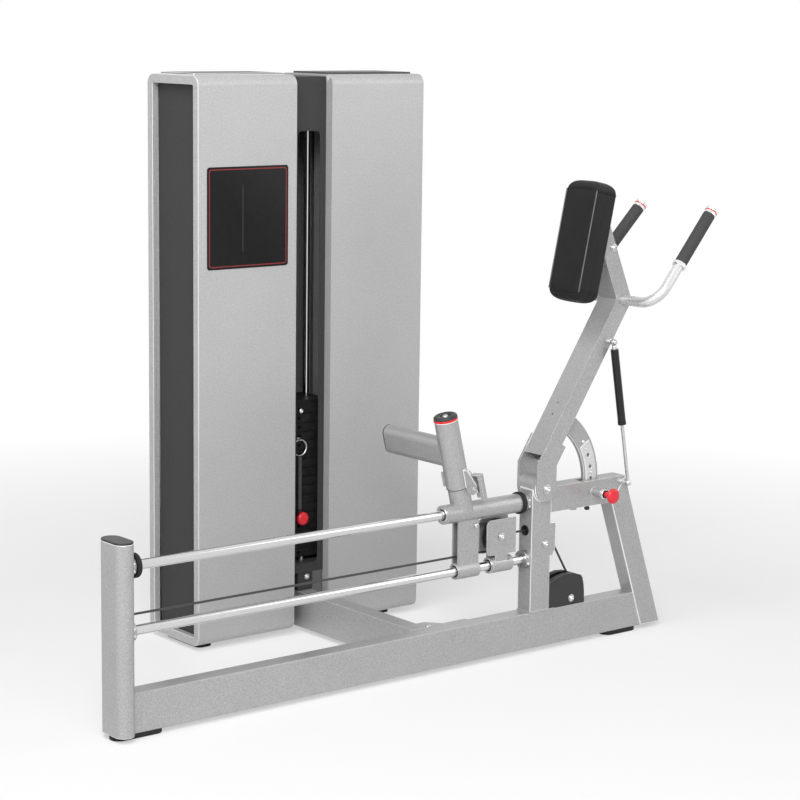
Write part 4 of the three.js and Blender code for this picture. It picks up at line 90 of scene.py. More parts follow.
def photo_camera():
    """The photograph's camera: measured place, turn, tilt, roll and focal length."""
    level = math.cos(ELEVATION)
    back = Vector((math.sin(AZIMUTH) * level, -math.cos(AZIMUTH) * level, math.sin(ELEVATION)))
    right = (-back).cross(Z).normalized()
    up = right.cross(-back)
    rolled_right = right * math.cos(ROLL) + up * math.sin(ROLL)
    rolled_up = up * math.cos(ROLL) - right * math.sin(ROLL)
    data = bpy.data.cameras.new("photo_camera")
    data.sensor_width = SENSOR_WIDTH
    data.lens = LENS
    data.clip_end = FARTHEST
    camera = placed("photo_camera", data)
    turn = Matrix((rolled_right, rolled_up, back)).transposed().to_4x4()
    camera.matrix_world = Matrix.Translation(CAMERA_PLACE) @ turn
    SCENE.camera = camera


photo_camera()


# Materials
class Nodes:
    """A short way to write a node material in object space, where one unit is a metre."""

    def __init__(self, name):
        self.material = bpy.data.materials.new(name)
        self.material.use_nodes = True
        self.tree = self.material.node_tree
        self.shader = self.tree.nodes["Principled BSDF"]
        self.place = self.tree.nodes.new("ShaderNodeTexCoord").outputs["Object"]

    def beyond(self, axis, limit, sign=1):
        """One where the coordinate on that axis is over the limit, or under it when sign is -1."""
        along = self.node("ShaderNodeSeparateXYZ", {0: self.place}).outputs[axis]
        kind = "GREATER_THAN" if sign > 0 else "LESS_THAN"
        return self.node("ShaderNodeMath", {0: along, 1: limit}, operation=kind).outputs[0]

    def feed(self, socket, value):
        """Links another node's output to a socket, or sets a plain value there."""
        if isinstance(value, bpy.types.NodeSocket):
            self.tree.links.new(value, socket)
        elif socket.type == "RGBA" and len(value) == 3:
            socket.default_value = (*value, 1)
        else:
            socket.default_value = value

    def node(self, kind, inputs=None, **settings):
        made = self.tree.nodes.new(kind)
        for key, value in settings.items():
            setattr(made, key, value)
        for key, value in (inputs or {}).items():
            self.feed(made.inputs[key], value)
        return made

    def noise(self, scale, detail=2.0, rough=0.5, stretch=None):
        place = self.place
        if stretch:
            place = self.node("ShaderNodeMapping", {"Vector": self.place, "Scale": stretch}).outputs[0]
        inputs = {"Vector": place, "Scale": scale, "Detail": detail, "Roughness": rough}
        return self.node("ShaderNodeTexNoise", inputs).outputs["Fac"]

    def cells(self, scale):
        cells = self.node("ShaderNodeTexVoronoi", {"Vector": self.place, "Scale": scale})
        return cells.outputs["Distance"]

    def ramp(self, fac, *stops):
        made = self.node("ShaderNodeValToRGB", {"Fac": fac})
        while len(made.color_ramp.elements) < len(stops):
            made.color_ramp.elements.new(0.5)
        for element, (position, colour) in zip(made.color_ramp.elements, stops):
            element.position = position
            element.color = (*colour, 1)
        return made.outputs["Color"]

    def shades(self, fac, tone, low, high, start=0.3, end=0.7):
        """A grey that runs from low to high times the tone."""
        return self.ramp(fac, (start, grey(tone * low)), (end, grey(tone * high)))

    def span(self, fac, low, high, start=0.0, end=1.0):
        inputs = {"Value": fac, "From Min": start, "From Max": end, "To Min": low, "To Max": high}
        return self.node("ShaderNodeMapRange", inputs).outputs[0]

    def mix(self, fac, first, second, blend="MIX"):
        inputs = {0: fac, 6: first, 7: second}
        made = self.node("ShaderNodeMix", inputs, data_type="RGBA", blend_type=blend)
        return made.outputs[2]

    def bump(self, height, strength, distance, under=None):
        inputs = {"Height": height, "Strength": strength, "Distance": distance}
        if under:
            inputs["Normal"] = under
        return self.node("ShaderNodeBump", inputs).outputs[0]

    def finish(self, colour=None, rough=None, normal=None, **fixed):
        for key, value in (("Base Color", colour), ("Roughness", rough), ("Normal", normal)):
            if value is not None:
                self.feed(self.shader.inputs[key], value)
        for key, value in fixed.items():
            self.shader.inputs[key.replace("_", " ")].default_value = value
        return self.material


def grey(value, warm=0.0):
    return (value * (1 + warm), value, value * (1 - warm))


def paint_grain(n, tone, sparkle, mottle):
    """The colour of powder paint: fine metal flake over a coarser grain and very faint broad clouds."""
    glints = ((0.3, grey(1 - sparkle)), (0.52, grey(1)), (0.72, grey(1 + sparkle)))
    flake = n.ramp(n.noise(900, 1.0, 0.4), *glints)
    grain = n.shades(n.noise(330, 2.0, 0.6), tone, 1 - mottle, 1 + mottle)
    broad = n.shades(n.noise(7, 3.0), 1, 0.965, 1.0)
    return n.mix(1.0, n.mix(1.0, grain, flake, "MULTIPLY"), broad, "MULTIPLY")


def powder_coat(name, tone, sparkle=0.16, mottle=0.17, rough=0.38, metallic=0.45, peel=0.2, **fixed):
    """Baked powder paint with metal flake and a faint orange-peel surface."""
    n = Nodes(name)
    spread = 0.02 + 0.2 * peel
    roughness = n.span(n.noise(240, 2.0), rough - spread, rough + spread, 0.3, 0.7)
    normal = n.bump(n.noise(420, 2.0), peel, 0.0006)
    return n.finish(paint_grain(n, tone, sparkle, mottle), roughness, normal, Metallic=metallic, **fixed)


def lidded_paint(name, tone, lid_tone, lid_height):
    """The shroud's powder paint, with a matte dark lid over a given height."""
    n = Nodes(name)
    lid = n.beyond("Z", lid_height)
    dark = n.shades(n.noise(60, 4.0), lid_tone, 0.88, 1.12, 0.25, 0.75)
    colour = n.mix(lid, paint_grain(n, tone, 0.14, 0.17), dark)
    roughness = n.span(n.noise(240, 2.0), 0.4, 0.5, 0.3, 0.7)
    return n.finish(colour, roughness, n.bump(n.noise(420, 2.0), 0.2, 0.0006), Metallic=0.3)


def faced_paint(name, tone, face_tone, depth):
    """Powder paint whose near face, past a given depth, is a brighter wear strip."""
    n = Nodes(name)
    strip = n.beyond("Y", depth, -1)
    brushed = n.shades(n.noise(60, 3.0, 0.6, (1, 1, 30)), face_tone, 0.94, 1.06)
    colour = n.mix(strip, paint_grain(n, tone, 0.16, 0.2), brushed)
    normal = n.bump(n.noise(420, 2.0), 0.12, 0.0005)
    return n.finish(colour, n.span(strip, 0.44, 0.3), normal, Metallic=0.3)


def moulded(name, tone, rough=0.5, grain=1400, strength=0.25, mottle=0.12, gloss=0.3):
    """Textured moulded plastic."""
    n = Nodes(name)
    colour = n.shades(n.noise(60, 4.0), tone, 1 - mottle, 1 + mottle, 0.25, 0.75)
    roughness = n.span(n.noise(90, 3.0), rough - 0.06, rough + 0.06)
    normal = n.bump(n.noise(grain, 2.0), strength, 0.0003)
    return n.finish(colour, roughness, normal, Specular_IOR_Level=gloss)


def rubber(name, tone, rough=0.8):
    """Matt rubber with a little dust on it."""
    n = Nodes(name)
    dust = n.shades(n.noise(25, 5.0, 0.65), tone, 0.85, 1.5, 0.35, 0.75)
    worn = n.span(n.noise(40, 3.0), rough - 0.08, rough + 0.08)
    return n.finish(dust, worn, n.bump(n.noise(700, 2.0), 0.3, 0.0004), Specular_IOR_Level=0.25)


def chrome(name, tone=0.72, rough=0.09, along="x"):
    """Hard chrome with faint polishing lines along its length."""
    n = Nodes(name)
    stretch = {"x": (1, 40, 40), "z": (40, 40, 1)}[along]
    lines = n.noise(60, 3.0, 0.6, stretch)
    colour = n.shades(lines, tone, 0.95, 1.05)
    roughness = n.span(lines, rough * 0.6, rough * 1.7)
    return n.finish(colour, roughness, n.bump(lines, 0.02, 0.0002), Metallic=1.0)


def zinc(name, tone=0.55, rough=0.3):
    """Bright zinc-plated fasteners."""
    n = Nodes(name)
    bloom = n.noise(180, 4.0, 0.6)
    colour = n.ramp(bloom, (0.3, grey(tone * 0.85, 0.01)), (0.7, grey(tone * 1.12, -0.01)))
    roughness = n.span(bloom, rough - 0.08, rough + 0.1)
    return n.finish(colour, roughness, n.bump(n.noise(900), 0.08, 0.0002), Metallic=1.0)


def vinyl(name, tone):
    """Upholstery vinyl: a fine pebble grain with painted shade in its pits and a slight sheen."""
    n = Nodes(name)
    pebble = n.cells(560)
    creases = n.noise(340, 3.0, 0.6)
    colour = n.shades(n.noise(26, 4.0), tone, 0.88, 1.14)
    # Painted shade: the pits of the pebble grain are darker.
    pits_painted_shade = n.mix(n.span(pebble, 0.25, 0.0, 0.0, 0.5), colour, grey(tone * 0.5))
    normal = n.bump(pebble, 0.3, 0.0006, n.bump(creases, 0.2, 0.0006))
    return n.finish(pits_painted_shade, n.span(creases, 0.46, 0.6), normal, Sheen_Weight=0.02, Specular_IOR_Level=0.18)


def lacquer(name, colour, rough=0.3):
    """Glossy coloured plastic with slight tone changes."""
    n = Nodes(name)
    shade = tuple(c * 0.82 for c in colour)
    tint = n.ramp(n.noise(45, 3.0), (0.3, shade), (0.7, colour))
    roughness = n.span(n.noise(80), rough - 0.06, rough + 0.08)
    return n.finish(tint, roughness, n.bump(n.noise(500), 0.08, 0.0003))


def ironwork(name, tone):
    """Black-painted cast weight plates, slightly dusty."""
    n = Nodes(name)
    colour = n.shades(n.noise(70, 5.0, 0.6), tone, 0.7, 1.5, 0.3, 0.75)
    rough = n.span(n.noise(120, 3.0), 0.4, 0.62)
    return n.finish(colour, rough, n.bump(n.noise(300, 4.0), 0.25, 0.0005), Specular_IOR_Level=0.12)


def cable_jacket(name, tone=0.02):
    """A nylon jacket over twisted strands."""
    n = Nodes(name)
    twist = n.noise(1500, 1.0, 0.5)
    colour = n.shades(twist, tone, 1, 2, 0.35, 0.65)
    return n.finish(colour, n.span(twist, 0.3, 0.5), n.bump(twist, 0.3, 0.0003))


LID_HEIGHT = 1.5368
STRIP_DEPTH = -0.0063

SILVER = powder_coat("silver_paint", 0.40)
# The next two lighter, glossier paints go on bevel faces: a painted highlight along the edges.
SILVER_PAINTED_HIGHLIGHT = powder_coat("silver_painted_highlight", 0.9, 0.03, 0.02, 0.3, 0.35, 0.02)
SHROUD_PAINTED_HIGHLIGHT = powder_coat("shroud_painted_highlight", 0.68, 0.03, 0.02, 0.3, 0.35, 0.02)
BRIGHT_PAINT = powder_coat("bright_paint", 0.66, 0.04, 0.03, 0.27, 0.6, 0.02)
PALE = powder_coat("pale_paint", 0.85, 0.03, 0.02, 0.3, 0.2, 0.02)
SHROUD = lidded_paint("shroud_paint", 0.45, 0.05, LID_HEIGHT)
QUADRANT = faced_paint("quadrant_paint", 0.40, 0.64, STRIP_DEPTH)
CHARCOAL = powder_coat("charcoal_paint", 0.042, 0.08, 0.12, 0.55, 0.0, Specular_IOR_Level=0.2)
# A lighter charcoal for bevel faces: a painted highlight along the edges.
CHARCOAL_PAINTED_HIGHLIGHT = powder_coat("charcoal_painted_highlight", 0.12, 0.05, 0.04, 0.42, 0.0, 0.05)
BLACK = moulded("black_plastic", 0.022, 0.42)
CAP_BLACK = moulded("cap_black", 0.035, 0.42)
GLOSS_BLACK = moulded("gas_black", 0.014, 0.3, 900, 0.05)
PLACARD = moulded("placard_black", 0.012, 0.4, 500, 0.06, gloss=0.1)
DIVIDER = moulded("divider_grey", 0.05, 0.4, 700, 0.06, gloss=0.1)
TETHER = moulded("tether_grey", 0.09, 0.5)
RUBBER = rubber("black_rubber", 0.018)
GRIP = moulded("grip_rubber", 0.05, 0.62, 900, 0.12, 0.06, gloss=0.25)
CHROME = chrome("chrome_rods", 0.66)
GUIDE_CHROME = chrome("chrome_guides", along="z")
BRIGHT = zinc("bright_steel", 0.62, 0.32)
POLISHED = zinc("polished_steel", 0.84, 0.16)
ZINC = zinc("zinc_bolts", 0.42, 0.34)
VINYL = vinyl("black_vinyl", 0.012)
# Lighter grey for the front-edge welts: a painted highlight along them.
WELT_PAINTED_HIGHLIGHT = moulded("welt_vinyl_painted_highlight", 0.12, 0.4, 900, 0.1)
RED = lacquer("red_plastic", (0.75, 0.02, 0.035))
RED_RING = lacquer("red_ring", (0.8, 0.008, 0.012), 0.25)
RED_LINE = lacquer("red_line", (0.2, 0.012, 0.014), 0.35)
STACK = ironwork("stack_iron", 0.016)
CABLE = cable_jacket("cable_jacket")


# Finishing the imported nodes
WELD_REACH = 0.00002
FLAT_ANGLE = math.radians(0.6)
FINE_ANGLE = math.radians(0.02)
EDGE_ANGLE = math.radians(34)
ROD_COLLARS = "upper_rod_front_collar upper_rod_rear_collar lower_rod_front_collar lower_rod_rear_collar"
FEET = "front_foot rear_foot tower_foot_left tower_foot_right"


def dress(names, material, bevel=0.0012, segments=2, edge=None, clamp=False):
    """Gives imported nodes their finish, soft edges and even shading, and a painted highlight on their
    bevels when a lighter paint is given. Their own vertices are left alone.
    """
    for name in names.split():
        node = NODES[name]
        node.data.materials.clear()
        node.data.materials.append(material)
        # The second, lighter paint on the bevel faces is a painted highlight along the edges.
        if edge:
            node.data.materials.append(edge)
        soften(node, bevel, segments, 1 if edge else -1, clamp)


def soften(node, bevel, segments, painted_highlight_slot, clamp):
    """Rounds a node's edges by modifiers. With clamp, they stay narrow where edges lie close together."""
    smooth(node.data)
    custom = node.data.attributes.get("custom_normal")
    if custom:
        node.data.attributes.remove(custom)
    weld = node.modifiers.new("weld", "WELD")
    weld.merge_threshold = WELD_REACH
    flat = node.modifiers.new("planar", "DECIMATE")
    flat.decimate_type = "DISSOLVE"
    flat.angle_limit = FLAT_ANGLE
    if bevel:
        edge = node.modifiers.new("edge", "BEVEL")
        edge.width = bevel
        edge.segments = segments
        edge.limit_method = "ANGLE"
        edge.angle_limit = EDGE_ANGLE
        # The bevel faces take the painted highlight's slot when there is one.
        edge.material = painted_highlight_slot
        edge.use_clamp_overlap = clamp
    normals = node.modifiers.new("normals", "WEIGHTED_NORMAL")
    normals.keep_sharp = True


dress("base_beam rear_leg upright", SILVER, 0.0024, 3, SILVER_PAINTED_HIGHLIGHT)
dress("top_tube arm_frame cross_member", SILVER, 0.0018, 2, SILVER_PAINTED_HIGHLIGHT, clamp=True)
dress("front_post foot_bar_frame", SILVER, 0.0012, 2, SILVER_PAINTED_HIGHLIGHT)
dress("carriage_frame trolley_frame release_lever", SILVER, 0.0014, 2, SILVER_PAINTED_HIGHLIGHT, clamp=True)
dress("adjuster_quadrant", QUADRANT, 0.0011, 2, SILVER_PAINTED_HIGHLIGHT)
dress("tower_frame", SILVER, 0.0015, clamp=True)
dress("left_shroud", SHROUD, 0.0016, 3, SHROUD_PAINTED_HIGHLIGHT)
NODES["left_shroud"].modifiers["planar"].angle_limit = FINE_ANGLE  # keeps the faces round its recess
dress("right_shroud", SHROUD, 0.0024, 3, SHROUD_PAINTED_HIGHLIGHT, clamp=True)
dress("left_end_panel right_end_panel centre_cover stack_base", CHARCOAL, 0.001)
dress("pulley_cover", CHARCOAL, 0.0014, 2, CHARCOAL_PAINTED_HIGHLIGHT, clamp=True)
dress("post_cap swivel_cap foot_bar_cap", CAP_BLACK, 0.0016, 3)
dress(FEET + " post_bumper carriage_bumper", RUBBER, 0.0015, 3)
dress("upper_rod lower_rod", CHROME, 0.0008)
dress("guide_rod_left guide_rod_right", GUIDE_CHROME, 0.0008)
dress(ROD_COLLARS, ZINC, 0.001)
dress("upper_bearing lower_bearing trolley_bearing", BRIGHT_PAINT, 0.001)
dress("pivot_bolt gas_rod handle_bar", BRIGHT, 0.0008)
dress("trolley_pulley upright_pulley base_pulley turn_pulley stack_pulley top_pulley", BLACK, 0.001)
dress("stack_lower stack_lifted", STACK, 0.0008)
dress("gas_cylinder", GLOSS_BLACK, 0.002, 3, clamp=True)
dress("grip_near grip_far", GRIP, 0.0015, 3)
dress("selector_pin pull_pin", RED, 0.0015, 3)
dress("chest_pad", VINYL, 0.0)
dress("front_cable lift_cable", CABLE, 0.0)


# Making pieces
WASHER_HEIGHT = 0.0034


def piece(name, mesh, material, body=None, replaces=(), sharp=38):
    """Turns a finished bmesh into a shaded object that rides on a body and stands for some nodes."""
    bmesh.ops.recalc_face_normals(mesh, faces=mesh.faces)
    data = bpy.data.meshes.new(name)
    mesh.to_mesh(data)
    mesh.free()
    data.materials.append(material)
    smooth(data)
    data.set_sharp_from_angle(angle=math.radians(sharp))
    made = placed(name, data)
    if body:
        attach(made, body)
    if replaces:
        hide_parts(*replaces)
    return made


def skin(mesh, rings, loop=False):
    """Joins rings of vertices into one closed surface, with flat ends unless the rings form a loop."""
    pairs = list(zip(rings, rings[1:]))
    if loop:
        pairs.append((rings[-1], rings[0]))
    for lower, upper in pairs:
        for step, corner in enumerate(lower):
            after = (step + 1) % len(lower)
            mesh.faces.new((corner, lower[after], upper[after], upper[step]))
    if not loop:
        mesh.faces.new(list(reversed(rings[0])))
        mesh.faces.new(rings[-1])


def turned(name, profile, place, axis, material, body, steps=48, hollow=False, **more):
    """Turns (radius, height) pairs round an axis. A third number gives that ring as many flat sides."""
    mesh = bmesh.new()
    turn = Vector(axis).to_track_quat("Z", "Y").to_matrix()
    rings = []
    for radius, height, *flats in profile:
        ring = []
        for step in range(steps):
            angle = math.tau * step / steps
            reach = radius
            if flats:
                sector = math.tau / flats[0]
                reach *= math.cos(sector / 2) / math.cos(angle % sector - sector / 2)
            spot = Vector((reach * math.cos(angle), reach * math.sin(angle), height))
            ring.append(mesh.verts.new(Vector(place) + turn @ spot))
        rings.append(ring)
    skin(mesh, rings, hollow)
    return piece(name, mesh, material, body, **more)


def collar(name, inner, outer, height, place, axis, material, body, edge=0.0004, **more):
    """A flat ring with slightly broken edges, standing on its place."""
    profile = [(inner, 0), (outer, 0), (outer, height - edge), (outer - edge, height), (inner, height)]
    return turned(name, profile, place, axis, material, body, hollow=True, **more)


def swept(name, route, radius, material, body=None, sides=16, loop=False, **more):
    """Carries a round section along a route without a twist, with one radius or one per point."""
    mesh = bmesh.new()
    last = len(route) - 1
    radii = radius if isinstance(radius, list) else [radius] * len(route)
    side = None
    rings = []
    for index, here in enumerate(route):
        before = route[index - 1] if index or loop else here
        after = route[(index + 1) % len(route)] if index < last or loop else here
        ahead = (after - before).normalized()
        side = side or ahead.orthogonal()
        side = (side - ahead * side.dot(ahead)).normalized()
        other = ahead.cross(side)
        angles = [math.tau * step / sides for step in range(sides)]
        spots = [here + (side * math.cos(a) + other * math.sin(a)) * radii[index] for a in angles]
        rings.append([mesh.verts.new(spot) for spot in spots])
    skin(mesh, rings, loop)
    return piece(name, mesh, material, body, **more)


def arc(centre, across, up, radius, start, end, steps):
    """Points of an arc that starts and ends at these angles, measured from across towards up."""
    turns = [start + (end - start) * step / steps for step in range(steps + 1)]
    return [Vector(centre) + (across * math.cos(a) + up * math.sin(a)) * radius for a in turns]


def straight(start, end, steps):
    return [Vector(start).lerp(Vector(end), step / steps) for step in range(steps + 1)]


def screw(name, place, axis, radius, body, washer=0.0):
    """A button-head screw with a hex socket. The washer is its radius, or zero for none."""
    rise = radius * 0.62
    flat = WASHER_HEIGHT if washer else 0
    profile = [(washer, 0), (washer, flat - 0.0004), (washer - 0.0005, flat)] if washer else []
    dome = [(1, 0), (1, 0.2), (0.94, 0.48), (0.8, 0.76), (0.62, 0.93), (0.5, 1)]
    profile += [(radius * out, flat + rise * up) for out, up in dome]
    profile += [(radius * 0.45, flat + rise, 6), (radius * 0.45, flat + rise * 0.4, 6)]
    return turned(name, profile, place, axis, BRIGHT, body)


def rounded(width, height, corner, steps=6):
    """Points round a rectangle with round corners, as (across, up) pairs."""
    points = []
    for turn, (right, top) in enumerate(((1, 1), (-1, 1), (-1, -1), (1, -1))):
        for step in range(steps + 1):
            angle = (turn + step / steps) * math.pi / 2
            across = right * (width / 2 - corner) + corner * math.cos(angle)
            points.append((across, top * (height / 2 - corner) + corner * math.sin(angle)))
    return points


def finer(points, reach):
    """A closed outline with extra points wherever its own are further apart than the reach."""
    closer = []
    for (x, y), (next_x, next_y) in zip(points, points[1:] + points[:1]):
        across, up = next_x - x, next_y - y
        parts = max(1, math.ceil(math.hypot(across, up) / reach))
        closer += [(x + across * part / parts, y + up * part / parts) for part in range(parts)]
    return closer


# Cables
TRACK = 0.039
CABLE_RADIUS = 0.003
CABLE_START = 0.0253
CARRIAGE_ANCHOR = 1.1003
TROLLEY_REAR = 1.2303


def cables():
    """The steel cables, split where they pass from one moving body to another."""
    names = ("trolley", "upright", "base", "turn", "stack", "top")
    moving, upright, base, corner, low, top = (joint_place(n + "_pulley_spin") for n in names)
    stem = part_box("stack_lifted")[1].z
    quarter = math.pi / 2

    under, over = moving - Z * TRACK, moving + Z * TRACK
    post = Vector((CABLE_START, 0, under.z))
    line = straight(post, under, 24)
    run = swept("cable_front_run", line, CABLE_RADIUS, CABLE, replaces=["front_cable"])
    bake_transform(run)
    swept("cable_wrap", arc(moving, X, Z, TRACK, -quarter, quarter, 32), CABLE_RADIUS, CABLE, "trolley")
    anchor = Vector((CARRIAGE_ANCHOR, 0, over.z))
    run = swept("cable_carriage_run", straight(over, anchor, 6), CABLE_RADIUS, CABLE)
    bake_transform(run)

    leave, meet = Vector((TROLLEY_REAR, 0, moving.z)), upright + Z * TRACK
    run = swept("cable_lift_run", straight(leave, meet, 6), CABLE_RADIUS, CABLE, replaces=["lift_cable"])
    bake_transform(run)
    fall = math.atan2(upright.z - base.z, base.x - upright.x)
    tangent = quarter - fall
    route = arc(upright, X, Z, TRACK, quarter, tangent, 12)
    route += arc(base, X, Z, TRACK, tangent, -quarter, 24)
    route += arc(corner, X, Y, TRACK, -quarter, -math.pi, 16)
    route += arc(low, Y, Z, TRACK, -quarter, 0, 16)
    route += arc(top, Y, Z, TRACK, 0, math.pi, 32)
    swept("cable_routed", route, CABLE_RADIUS, CABLE, "frame")
    hang, grip = top - Y * TRACK, Vector((top.x, top.y - TRACK, stem))
    run = swept("cable_stack_run", straight(hang, grip, 12), CABLE_RADIUS, CABLE)
    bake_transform(run)

    ferrule = [(0.0095, 0, 6), (0.0095, 0.007, 6), (0.006, 0.0072), (0.006, 0.03), (0.0045, 0.034)]
    turned("stack_ferrule", ferrule, grip, Z, ZINC, "stack")
    collar("post_grommet", 0.0036, 0.0085, 0.003, post - X * 0.0002, X, RUBBER, "frame", edge=0.001)
    wall = Vector((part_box("upright")[0].x, 0, moving.z))
    collar("upright_grommet", 0.0105, 0.0145, 0.002, wall, -X, RUBBER, "frame")


# Pulley axles, pivots and pins
ANCHOR = Vector((1.095, 0.0133, 0.375))
TUBE_STOP = Vector((1.490, -0.017, 0.381))


def small_bolts():
    """The cable anchor's screw heads on the carriage, and the black stop under the top tube."""
    for side, name in SIDES:
        seat = Vector((ANCHOR.x, ANCHOR.y * side, ANCHOR.z))
        screw(f"anchor_screw_{name}", seat, Y * side, 0.0078, "carriage")
    nut = [(0.006, 0, 6), (0.006, 0.0045, 6)]
    dome = [(0.007, 0.0048), (0.0075, 0.0075), (0.007, 0.0105), (0.0048, 0.012)]
    turned("tube_stop", nut + dome, TUBE_STOP, -Z, BLACK, "frame")


AXLE_HEAD = 0.0078
AXLE_WASHER = 0.0102
CAD_HEAD_HEIGHT = 0.003
CARRIERS = {
    "trolley_pulley": "trolley",
    "upright_pulley": "frame",
    "base_pulley": "frame",
    "turn_pulley": "frame",
}
PIVOT_FACE = 0.0413
PIVOT_WASHER_HEIGHT = 0.0024


def axle_screws():
    """Screw heads over the ends of the pulley axles."""
    for pulley, body in CARRIERS.items():
        axis = joint_axis(pulley + "_spin")
        low, high = sorted(corner.dot(axis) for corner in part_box(pulley))
        for side, reach in ((-1, low), (1, high)):
            place = joint_place(pulley + "_spin")
            place += axis * (reach - side * CAD_HEAD_HEIGHT - place.dot(axis))
            tag = f"{pulley}_screw_{'low' if side < 0 else 'high'}"
            screw(tag, place, axis * side, AXLE_HEAD, body, washer=AXLE_WASHER)


def pivot():
    """The arm's pivot: a turned shaft with a washer and a button head at each end."""
    place = joint_place("arm_tilt")
    shaft = [(0.01, -PIVOT_FACE), (0.01, PIVOT_FACE)]
    turned("pivot_shaft", shaft, place, Y, BRIGHT, "frame", replaces=["pivot_bolt"])
    for side, name in SIDES:
        out = Y * side
        seat = place + out * PIVOT_FACE
        collar(f"pivot_washer_{name}", 0.005, 0.0136, PIVOT_WASHER_HEIGHT, seat, out, BRIGHT, "frame")
        screw(f"pivot_head_{name}", seat + out * PIVOT_WASHER_HEIGHT, out, 0.009, "frame")


def knob_profile(radius, length, stem, neck):
    """A mushroom knob on its stem: a flared neck, a round rim and a shallow crown."""
    rim = [(0.62, 0), (0.9, 0.06), (0.985, 0.22), (1, 0.4)]
    crown = [(0.97, 0.6), (0.88, 0.78), (0.66, 0.92), (0.35, 0.985), (0.05, 1)]
    flare = [(stem, 0), (stem, neck * 0.6), (stem * 1.25, neck * 0.9)]
    return flare + [(radius * out, neck + length * up) for out, up in rim + crown]


PULL_HOUSING = -0.0613
PULL_KNOB_LENGTH = 0.014
PULL_STEM = 0.0078
PULL_BARREL_LENGTH = 0.0075
PULL_BOLT_GAP = 0.031


def pull_pin():
    """The red pull knob and its bright housing rim."""
    low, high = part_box("pull_pin")
    radius = (high.z - low.z) / 2
    x, z = (low.x + high.x) / 2, (low.z + high.z) / 2
    rear = Vector((x, PULL_HOUSING, z))
    neck = PULL_HOUSING - low.y - PULL_KNOB_LENGTH
    shape = [(PULL_STEM, -0.03)] + knob_profile(radius, PULL_KNOB_LENGTH, PULL_STEM, neck)
    turned("pull_knob", shape, rear, -Y, RED, "pull_pin", replaces=["pull_pin"], sharp=60)
    bolt = [(0.005, 0), (0.005, high.y - rear.y - PULL_BOLT_GAP)]
    turned("pull_bolt", bolt, rear + Y * PULL_BOLT_GAP, Y, BRIGHT, "pull_pin")
    collar("pull_barrel", 0.0092, 0.0127, PULL_BARREL_LENGTH, rear, -Y, POLISHED, "frame", edge=0.0012)
    end = rear - Y * PULL_BARREL_LENGTH
    collar("pull_barrel_seal", 0.0092, 0.0108, 0.0028, end, -Y, RUBBER, "frame")


GAS_ARM_SIDE, GAS_TUBE_SIDE = -0.035, -0.025
GAS_EYE = 0.007
GAS_BALL = 0.0085
GAS_CYLINDER_END = 0.225
GAS_NECK_PLACE = 0.0205


def gas_spring():
    """Ball sockets on the gas spring's ends, nuts on its studs, and the cylinder's gland."""
    top = joint_place("gas_cylinder_swing")
    along = joint_axis("gas_rod_slide")
    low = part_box("gas_rod")[0]
    bottom = Vector((0, top.y, low.z + GAS_EYE))
    bottom.x = top.x + (bottom.z - top.z) * along.x / along.z
    angles = [math.pi * (step + 1) / 13 for step in range(12)]
    ball = [(GAS_BALL * math.sin(a), -GAS_BALL * math.cos(a)) for a in angles]
    for name, place, body, wall, carrier in (
        ("top", top, "gas_cylinder", GAS_ARM_SIDE, "arm"),
        ("bottom", bottom, "gas_rod", GAS_TUBE_SIDE, "frame"),
    ):
        turned(f"gas_socket_{name}", ball, place, Y, BRIGHT, body, sharp=60)
        seat = Vector((place.x, wall, place.z))
        nut = [(0.0088, 0, 6), (0.0088, 0.0045, 6), (0.0066, 0.0052), (0.0052, 0.0052), (0.0052, 0.009)]
        turned(f"gas_nut_{name}", nut, seat, -Y, BRIGHT, carrier)
    down = (bottom - top).normalized()
    end = top + down * GAS_CYLINDER_END
    gland = [(0.0052, -0.002), (0.0104, -0.002), (0.0116, -0.0012)]
    gland += [(0.0116, 0.008), (0.0112, 0.0084), (0.0052, 0.0084)]
    turned("gas_gland", gland, end, down, GLOSS_BLACK, "gas_cylinder", hollow=True)
    neck = [(0.0052, 0), (0.0065, 0.001), (0.0065, 0.009), (0.0052, 0.012)]
    turned("gas_neck", neck, top + down * GAS_NECK_PLACE, -down, BRIGHT, "gas_cylinder")


# Sleeves, collars and the swivel column
WIPER_BORE, WIPER_RADIUS = 0.0131, 0.0155
RIM_SUNK, WIPER_PROUD, FACE_PROUD = 0.001, 0.0004, 0.0002
SWIVEL_SEAM = 0.0718
SWIVEL_TOP = 0.2593
PALE_RING_HEIGHT = 0.0022
TAB_UP, TAB_OUT, TAB_ASIDE = 0.0935, 0.0325, 0.002
COLLAR_SCREW_SUNK, COLLAR_SCREW_SPREAD = 0.0012, 0.0085


def sleeve_rims():
    """Wiper seals and bright faces at both ends of each sleeve, and screws in the split collars."""
    for node, body, face in (
        ("upper_bearing", "carriage", 0.0186),
        ("lower_bearing", "carriage", 0.0166),
        ("trolley_bearing", "trolley", 0.0166),
    ):
        low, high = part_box(node)
        for end, side in ((low.x, -1), (high.x, 1)):
            out = X * side
            place = Vector((end, 0, (low.z + high.z) / 2)) - out * RIM_SUNK
            tag = f"{node}_{'front' if side < 0 else 'rear'}"
            wiper, rim = RIM_SUNK + WIPER_PROUD, RIM_SUNK + FACE_PROUD
            collar(tag + "_wiper", WIPER_BORE, WIPER_RADIUS, wiper, place, out, RUBBER, body, edge=0.0003)
            collar(tag + "_face", WIPER_RADIUS, face, rim, place, out, BRIGHT, body)
    for node in ROD_COLLARS.split():
        low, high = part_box(node)
        for step in (-1, 1):
            z = (low.z + high.z) / 2 + step * COLLAR_SCREW_SPREAD
            place = Vector(((low.x + high.x) / 2, low.y + COLLAR_SCREW_SUNK, z))
            screw(f"{node}_screw_{'low' if step < 0 else 'high'}", place, -Y, 0.0042, "frame")


